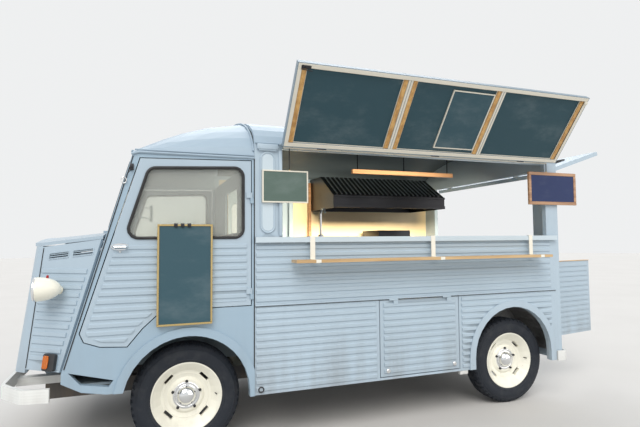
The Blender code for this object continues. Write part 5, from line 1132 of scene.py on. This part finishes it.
# %% Linings
WALL_Y, JAMB_Y, BULKHEAD_X = (0.9465, 0.9495), (-0.949, -0.946), (0.446, 0.449)
WALLS = [((1.262, 2.94), WALL_Y, (0.87, 1.955)), ((0.46, 1.262), WALL_Y, (1.875, 1.955)),
         (BULKHEAD_X, (-0.30, 0.30), (1.745, 1.86)), (BULKHEAD_X, (-0.945, -0.305), (0.44, 1.86)),
         (BULKHEAD_X, (0.305, 0.945), (0.44, 1.86)), ((2.863, 2.944), JAMB_Y, (1.36, 1.955)),
         ((0.452, 0.597), JAMB_Y, (1.36, 1.955))]
outer, inner = [[(y, z) for _, y, z in arch(0, FACE - inset, EAVES_Z, 0.275 - inset, 24)]
                for inset in (0.028, 0.031)]
# The roof's inside is a dark skin of painted shade.
piece("roof_shade_lining", "ceiling_shade_paint", "body", [cutout(outer + inner[::-1], 0.44, 2.975, "YZ", 0.0)])
piece("linings", "beige_lining", "body", blocks([zip(*wall) for wall in WALLS], 0.0005))

# %% [markdown]
# The cooking line: steel baffles slope up in the dark hood, and a timber shelf hangs from the roof over
# it. The steel cabinet has doors, knobs, a griddle and a back plate.

# %% Kitchen
HOOD_X = (1.46, 2.73)
BAFFLES, BAFFLE_PITCH = 24, 0.0505
UNIT_Y, UNIT_TOP = 0.40, 1.28
TOP = UNIT_TOP + 0.0005
hood_foot, hood_head = Vector((0.25, 1.76)), Vector((0.62, 1.985))
along_face = (hood_head - hood_foot).normalized()
lift = Vector((-along_face.y, along_face.x)) * 0.004
ends = [hood_foot.lerp(hood_head, share) + lift for share in (0.06, 0.94)]
baffles = [bent([(HOOD_X[0] + 0.05 + index * BAFFLE_PITCH, *end) for end in ends], 0.008)
           for index in range(BAFFLES)]
piece("hood_baffles", "steel", "body", baffles)
hood_trim = blocks([((HOOD_X[0] - 0.002, 0.240, low), (HOOD_X[1] + 0.002, 0.2495, high))
                    for low, high in ((1.640, 1.672), (1.740, 1.762))], 0.002)
piece("hood_trim", "dark_metal", "body", hood_trim)
piece("hood_shelf", "brown_wood", "body", [block((1.64, 0.185, 1.972), (2.80, 0.225, 2.014), 0.003)])
hangers = [bar((x, 0.205, 2.010), (x, 0.205, 2.197), 0.005, 10) for x in (1.70, 2.22, 2.74)]
piece("shelf_hangers", "dark_metal", "body", hangers)
piece("wall_post", "brown_wood", "body", [block((1.425, 0.895, 1.2805), (1.455, 0.945, 1.95), 0.003)])
unit = []
for low, high in ((1.315, 1.675), (1.685, 2.045)):
    grip = [(low + 0.04, -0.012), (low + 0.04, -0.038), (high - 0.04, -0.038), (high - 0.04, -0.012)]
    unit.append(block((low, UNIT_Y - 0.012, 0.50), (high, UNIT_Y - 0.0005, 1.12), 0.003, 2))
    unit.append(bent([(x, UNIT_Y + reach, 1.07) for x, reach in grip], 0.005))
unit.append(block((1.305, UNIT_Y - 0.008, 1.135), (2.053, UNIT_Y - 0.0005, 1.235), 0.002))
unit.append(block((1.46, 0.935, TOP), (2.55, 0.9455, 1.34), 0.002))
piece("unit_doors", "steel", "body", unit)
griddle = [block((1.36, 0.45, TOP), (1.98, 0.90, UNIT_TOP + 0.035), 0.006, 2),
           block((2.06, 0.47, TOP), (2.44, 0.88, UNIT_TOP + 0.14), 0.008, 2)]
griddle += [bar((x, UNIT_Y - 0.006, 1.185), (x, UNIT_Y - 0.030, 1.185), 0.019, 20)
            for x in (1.42, 1.55, 1.68, 1.81, 1.94)]
piece("griddle", "dark_metal", "body", griddle)

# %% [markdown]
# A sink and its tap are let into the front end of the serving counter; the sink's hollow is a flat dark plate
# of painted shade.

# %% Sink
TAP_X = 1.02
SPOUT = ((-0.585, 1.345), (-0.585, 1.53), (-0.61, 1.56), (-0.66, 1.56), (-0.68, 1.53))
tap = [bent(at_rear(SPOUT, TAP_X), 0.009, resolution=2),
       bar((TAP_X, *SPOUT[0]), (TAP_X, -0.585, 1.365), 0.02, 20)]
tap += border((0.84, -0.88), (1.20, -0.62), 0.018, (1.3452, 1.3490), "XY")
piece("sink_and_tap", "steel", "body", tap)
# Painted shade: a thin dark plate stands for the shaded hollow of the bowl.
piece("sink_shade_plate", "dark_metal", "body", [block((0.855, -0.865, 1.3451), (1.185, -0.635, 1.3462), 0.0003)])

# %% [markdown]
# The cab's inside shows through the glass: a rubber mat, dials, pedals, levers and sun visors.

# %% Cab fittings
# Dial: Y, the rim's radius and the face's
DIALS = ((-0.42, 0.052, 0.045), (-0.30, 0.030, 0.026), (-0.54, 0.030, 0.026))
rims, faces = [], []
for y, rim, face in DIALS:
    ring = [(rim * 0.86, 0.0), (rim, 0.0), (rim, 0.012), (rim * 0.9, 0.014), (rim * 0.86, 0.008)]
    rims.append(moved(spun(ring, 28, True), at(-0.3605, y, 1.245) @ TO_REAR))
    disc = [(0, 0.004), (face, 0.004), (face, 0.0), (0, 0.0)]
    faces.append(moved(spun(disc, 28), at(-0.3603, y, 1.245) @ TO_REAR))
piece("dial_rims", "chrome", "body", rims)
piece("dial_faces", "cream_trim", "body", faces)
PEDAL_YS = (-0.52, -0.42, -0.32)
levers = [bent([(-0.10, -0.12, 0.875), (-0.16, -0.13, 1.02), (-0.14, -0.14, 1.10)], 0.007),
          bent([(0.02, -0.22, 0.885), (-0.04, -0.22, 1.02)], 0.009)]
levers += [bent([(-0.575, y, 0.76), (-0.50, y, 0.66)], 0.006) for y in PEDAL_YS]
levers += blocks([((-0.512, y - 0.028, 0.630), (-0.500, y + 0.028, 0.690)) for y in PEDAL_YS], 0.003)
piece("levers_and_pedals", "dark_metal", "body", levers)
LEVER_KNOB = [(0, 0.02), (0.012, 0.017), (0.017, 0.006), (0.014, -0.008), (0, -0.012)]
piece("lever_knob", "dark_plastic", "body", [moved(spun(LEVER_KNOB, 20), at(-0.14, -0.14, 1.11))])
visors = []
rod_v = SCREEN_HEIGHT - 0.042
for y in (-0.46, 0.46):
    corners = (y - 0.20, SCREEN_HEIGHT - 0.17, 0.060), (y + 0.20, SCREEN_HEIGHT - 0.04, 0.074)
    visors.append(block(*corners, 0.006, 2))
    visors.append(bent([(y - 0.21, rod_v, 0.067), (y + 0.21, rod_v, 0.067)], 0.004))
piece("sun_visors", "vinyl", "body", visors, SCREEN)
mats = [((-0.44, low, 0.5005), (0.40, high, 0.506)) for low, high in ((-0.515, -0.275), (0.275, 0.515))]
piece("floor_mats", "floor_mat", "body", blocks(mats, 0.002))

# %% [markdown]
# The steering wheel's grip and hub are round in section. They are drawn flat and turned on to the column.

# %% Steering wheel
HUB = [(0, 0.020), (0.014, 0.019), (0.024, 0.013), (0.027, 0.0125), (0.027, 0.011), (0, 0.011)]
grip = [bent([(x, y, 0.0) for x, y in oval((0, 0), (0.2, 0.2), 48)], 0.0128, True, 2), spun(HUB, 28)]
wheel_top, column_foot = Vector((-0.15, -0.42, 1.13)), Vector((-0.50, -0.42, 0.512))
wheel_turn = (wheel_top - column_foot).normalized().to_track_quat("Z", "Y").to_matrix().to_4x4()
piece("steering_grip", "dark_plastic", "steering_wheel", grip, Matrix.Translation(wheel_top) @ wheel_turn)

# %% [markdown]
# The seats are soft, so the plain solid is replaced. A cushion is a block with a few cuts whose faces
# swell between the seams: the top is crowned, the sides pull in between their corners, and a subdivision
# surface rounds it all. Sewn channels run down each pad.

# %% Seats
CUTS = ((0, 23), (1, 13), (2, 3))
CROWN, SEWN = 0.022, 0.009
CHANNELS = 5


def cushion(name, size, place):
    """A padded block of that size, centred on its foot, with sewn channels along its second axis."""
    width, depth, height = size
    bm = block((-width / 2, -depth / 2, 0.0), (width / 2, depth / 2, height), height * 0.22, 2)
    for axis, cuts in CUTS:
        span = (-width / 2, -depth / 2, 0.0)[axis]
        for index in range(1, cuts):
            spot, normal = [0.0, 0.0, 0.0], [0.0, 0.0, 0.0]
            spot[axis] = span + size[axis] * index / cuts
            normal[axis] = 1.0
            everything = bm.verts[:] + bm.edges[:] + bm.faces[:]
            bmesh.ops.bisect_plane(bm, geom=everything, plane_co=spot, plane_no=normal)
    for vert in bm.verts:
        u, v, w = vert.co.x / (width / 2), vert.co.y / (depth / 2), vert.co.z / height
        swell = (1 - u * u) * (1 - v * v)
        sewn = abs(math.cos(math.pi * (u + 1) / 2 * CHANNELS)) ** 6 if abs(u) < 0.93 else 0.0
        waisted = 1 - (2 * w - 1) ** 2 * 0.5
        vert.co.z += w * (swell * CROWN - sewn * SEWN * (1 - v ** 4))
        vert.co.x *= 1 - 0.030 * (1 - v * v) * waisted * abs(u)
        vert.co.y *= 1 - 0.040 * (1 - u * u) * waisted * abs(v)
    item = piece(name, "vinyl", "body", [bm], place, 80.0)
    smooth = item.modifiers.new("smooth", "SUBSURF")
    smooth.levels = 1
    smooth.render_levels = 1


SEAT_YS, SEAT_Z = (0.28, 0.61), 0.83
tubes = []
for name, side in SIDES:
    y = side * 0.445
    sideways = turned(90, "Z")
    cushion(f"seat_pad_{name}", (0.34, 0.36, 0.095), at(0.115, y, 0.842) @ sideways)
    cushion(f"seat_back_{name}", (0.34, 0.40, 0.075), at(0.338, y, 1.165) @ turned(-82, "Y") @ sideways)
    for y in (side * SEAT_YS[0], side * SEAT_YS[1]):
        post = [(-0.05, y, SEAT_Z), (0.33, y, SEAT_Z), (0.362, y, 1.0), (0.378, y, 1.37)]
        tubes.append(bent(post, 0.010, resolution=2))
    for x, z in ((0.378, 1.37), (-0.05, SEAT_Z)):
        tubes.append(bent([(x, side * y, z) for y in SEAT_YS], 0.010, resolution=2))
    tubes.append(block((-0.04, side * 0.27, 0.828), (0.33, side * 0.62, 0.838), 0.002))
tubes.append(block((0.0, -0.60, 0.872), (0.30, 0.60, 0.886), 0.002))
seat_frame = piece("seat_frame", "dark_metal", "body", tubes)
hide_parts("seats")

# %% [markdown]
# The stage is plain: a pale floor without an edge in view, and a pale sky that is brighter to the camera,
# glass and chrome than it is as a light.

# %% Stage and sky
FLOOR_RADIUS = 45.0
floor_finish = Finish("floor_pale", (0.60, 0.585, 0.565), 0.8)
floor_clouds = floor_finish.noise(0.8, 4.0)
floor_finish.set("Base Color", floor_finish.mixed(floor_clouds, (0.57, 0.555, 0.535), (0.64, 0.625, 0.605)))
floor_finish.raised(floor_finish.noise(45.0, 3.0), 0.001)
floor_bm = bmesh.new()
bmesh.ops.create_circle(floor_bm, cap_ends=True, segments=64, radius=FLOOR_RADIUS)
floor_mesh = bpy.data.meshes.new("floor")
floor_bm.to_mesh(floor_mesh)
floor_bm.free()
floor_mesh.materials.append(floor_finish.material)
floor = linked(bpy.data.objects.new("floor", floor_mesh))
floor.location.z = -0.001
floor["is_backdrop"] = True

world = bpy.data.worlds.new("pale_sky")
SCENE.world = world
world.use_nodes = True
sky = world.node_tree
lighting, seen = sky.nodes["Background"], sky.nodes.new("ShaderNodeBackground")
for shade, colour, strength in ((lighting, (0.90, 0.95, 1.0), 0.62), (seen, (0.905, 0.915, 0.92), 0.95)):
    shade.inputs["Color"].default_value = (*colour, 1.0)
    shade.inputs["Strength"].default_value = strength
paths, either = sky.nodes.new("ShaderNodeLightPath"), sky.nodes.new("ShaderNodeMixShader")
some_seen, all_seen = [sky.nodes.new("ShaderNodeMath") for _ in range(2)]
some_seen.operation = all_seen.operation = "ADD"
all_seen.use_clamp = True
links = ((paths, "Is Camera Ray", some_seen, 0), (paths, "Is Glossy Ray", some_seen, 1),
         (some_seen, 0, all_seen, 0), (paths, "Is Transmission Ray", all_seen, 1), (all_seen, 0, either, 0),
         (lighting, 0, either, 1), (seen, 0, either, 2), (either, 0, sky.nodes["World Output"], "Surface"))
for source, output, target, place in links:
    sky.links.new(source.outputs[output], target.inputs[place])
print("floor and sky are up")

# %% [markdown]
# Three wide suns do the lighting, so that a colour renders about as written. A warm tube light hangs behind
# the hatch's head, unseen, and makes the lining glow as it does in the photograph.

# %% Light
# Sun: where it comes from as seen from the van, strength, how wide it is in degrees, colour
SUNS = (("key", (-0.45, -0.90, 1.02), 2.10, 42, (1.0, 0.975, 0.94)),
        ("fill", (1.0, -1.10, 0.45), 0.75, 60, (1.0, 0.94, 0.86)),
        ("back", (0.4, 1.0, 0.9), 1.15, 45, (0.95, 0.97, 1.0)))
for name, source, strength, spread, tone in SUNS:
    sun = linked(bpy.data.objects.new(f"sun_{name}", bpy.data.lights.new(name, "SUN")))
    sun.data.energy = strength
    sun.data.angle = math.radians(spread)
    sun.data.color = tone
    sun.rotation_euler = (-Vector(source)).to_track_quat("-Z", "Y").to_euler()

KITCHEN_LAMP = Vector((1.85, -0.72, 1.89))
tube = linked(bpy.data.objects.new("kitchen_lamp", bpy.data.lights.new("kitchen_lamp", "AREA")))
tube.data.shape = "RECTANGLE"
tube.data.size = 1.6
tube.data.size_y = 0.22
tube.data.energy = 55.0
tube.data.spread = math.radians(95)
tube.data.color = (1.0, 0.88, 0.66)
tube.location = KITCHEN_LAMP + ORIGIN
tube.rotation_euler = Vector((0, 1.30, -0.75)).to_track_quat("-Z", "Y").to_euler()
tube.visible_camera = False
tube.visible_glossy = False
SCENE.view_settings.view_transform = "Standard"
print(len(SUNS), "suns and a kitchen lamp")

# %% Measure and finish
low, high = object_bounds()
{"cad": [list(cad_low), list(cad_high)], "visual": [list(low), list(high)]}
print("grown by", [round(v, 4) for v in (*(cad_low - low), *(high - cad_high))], "m")
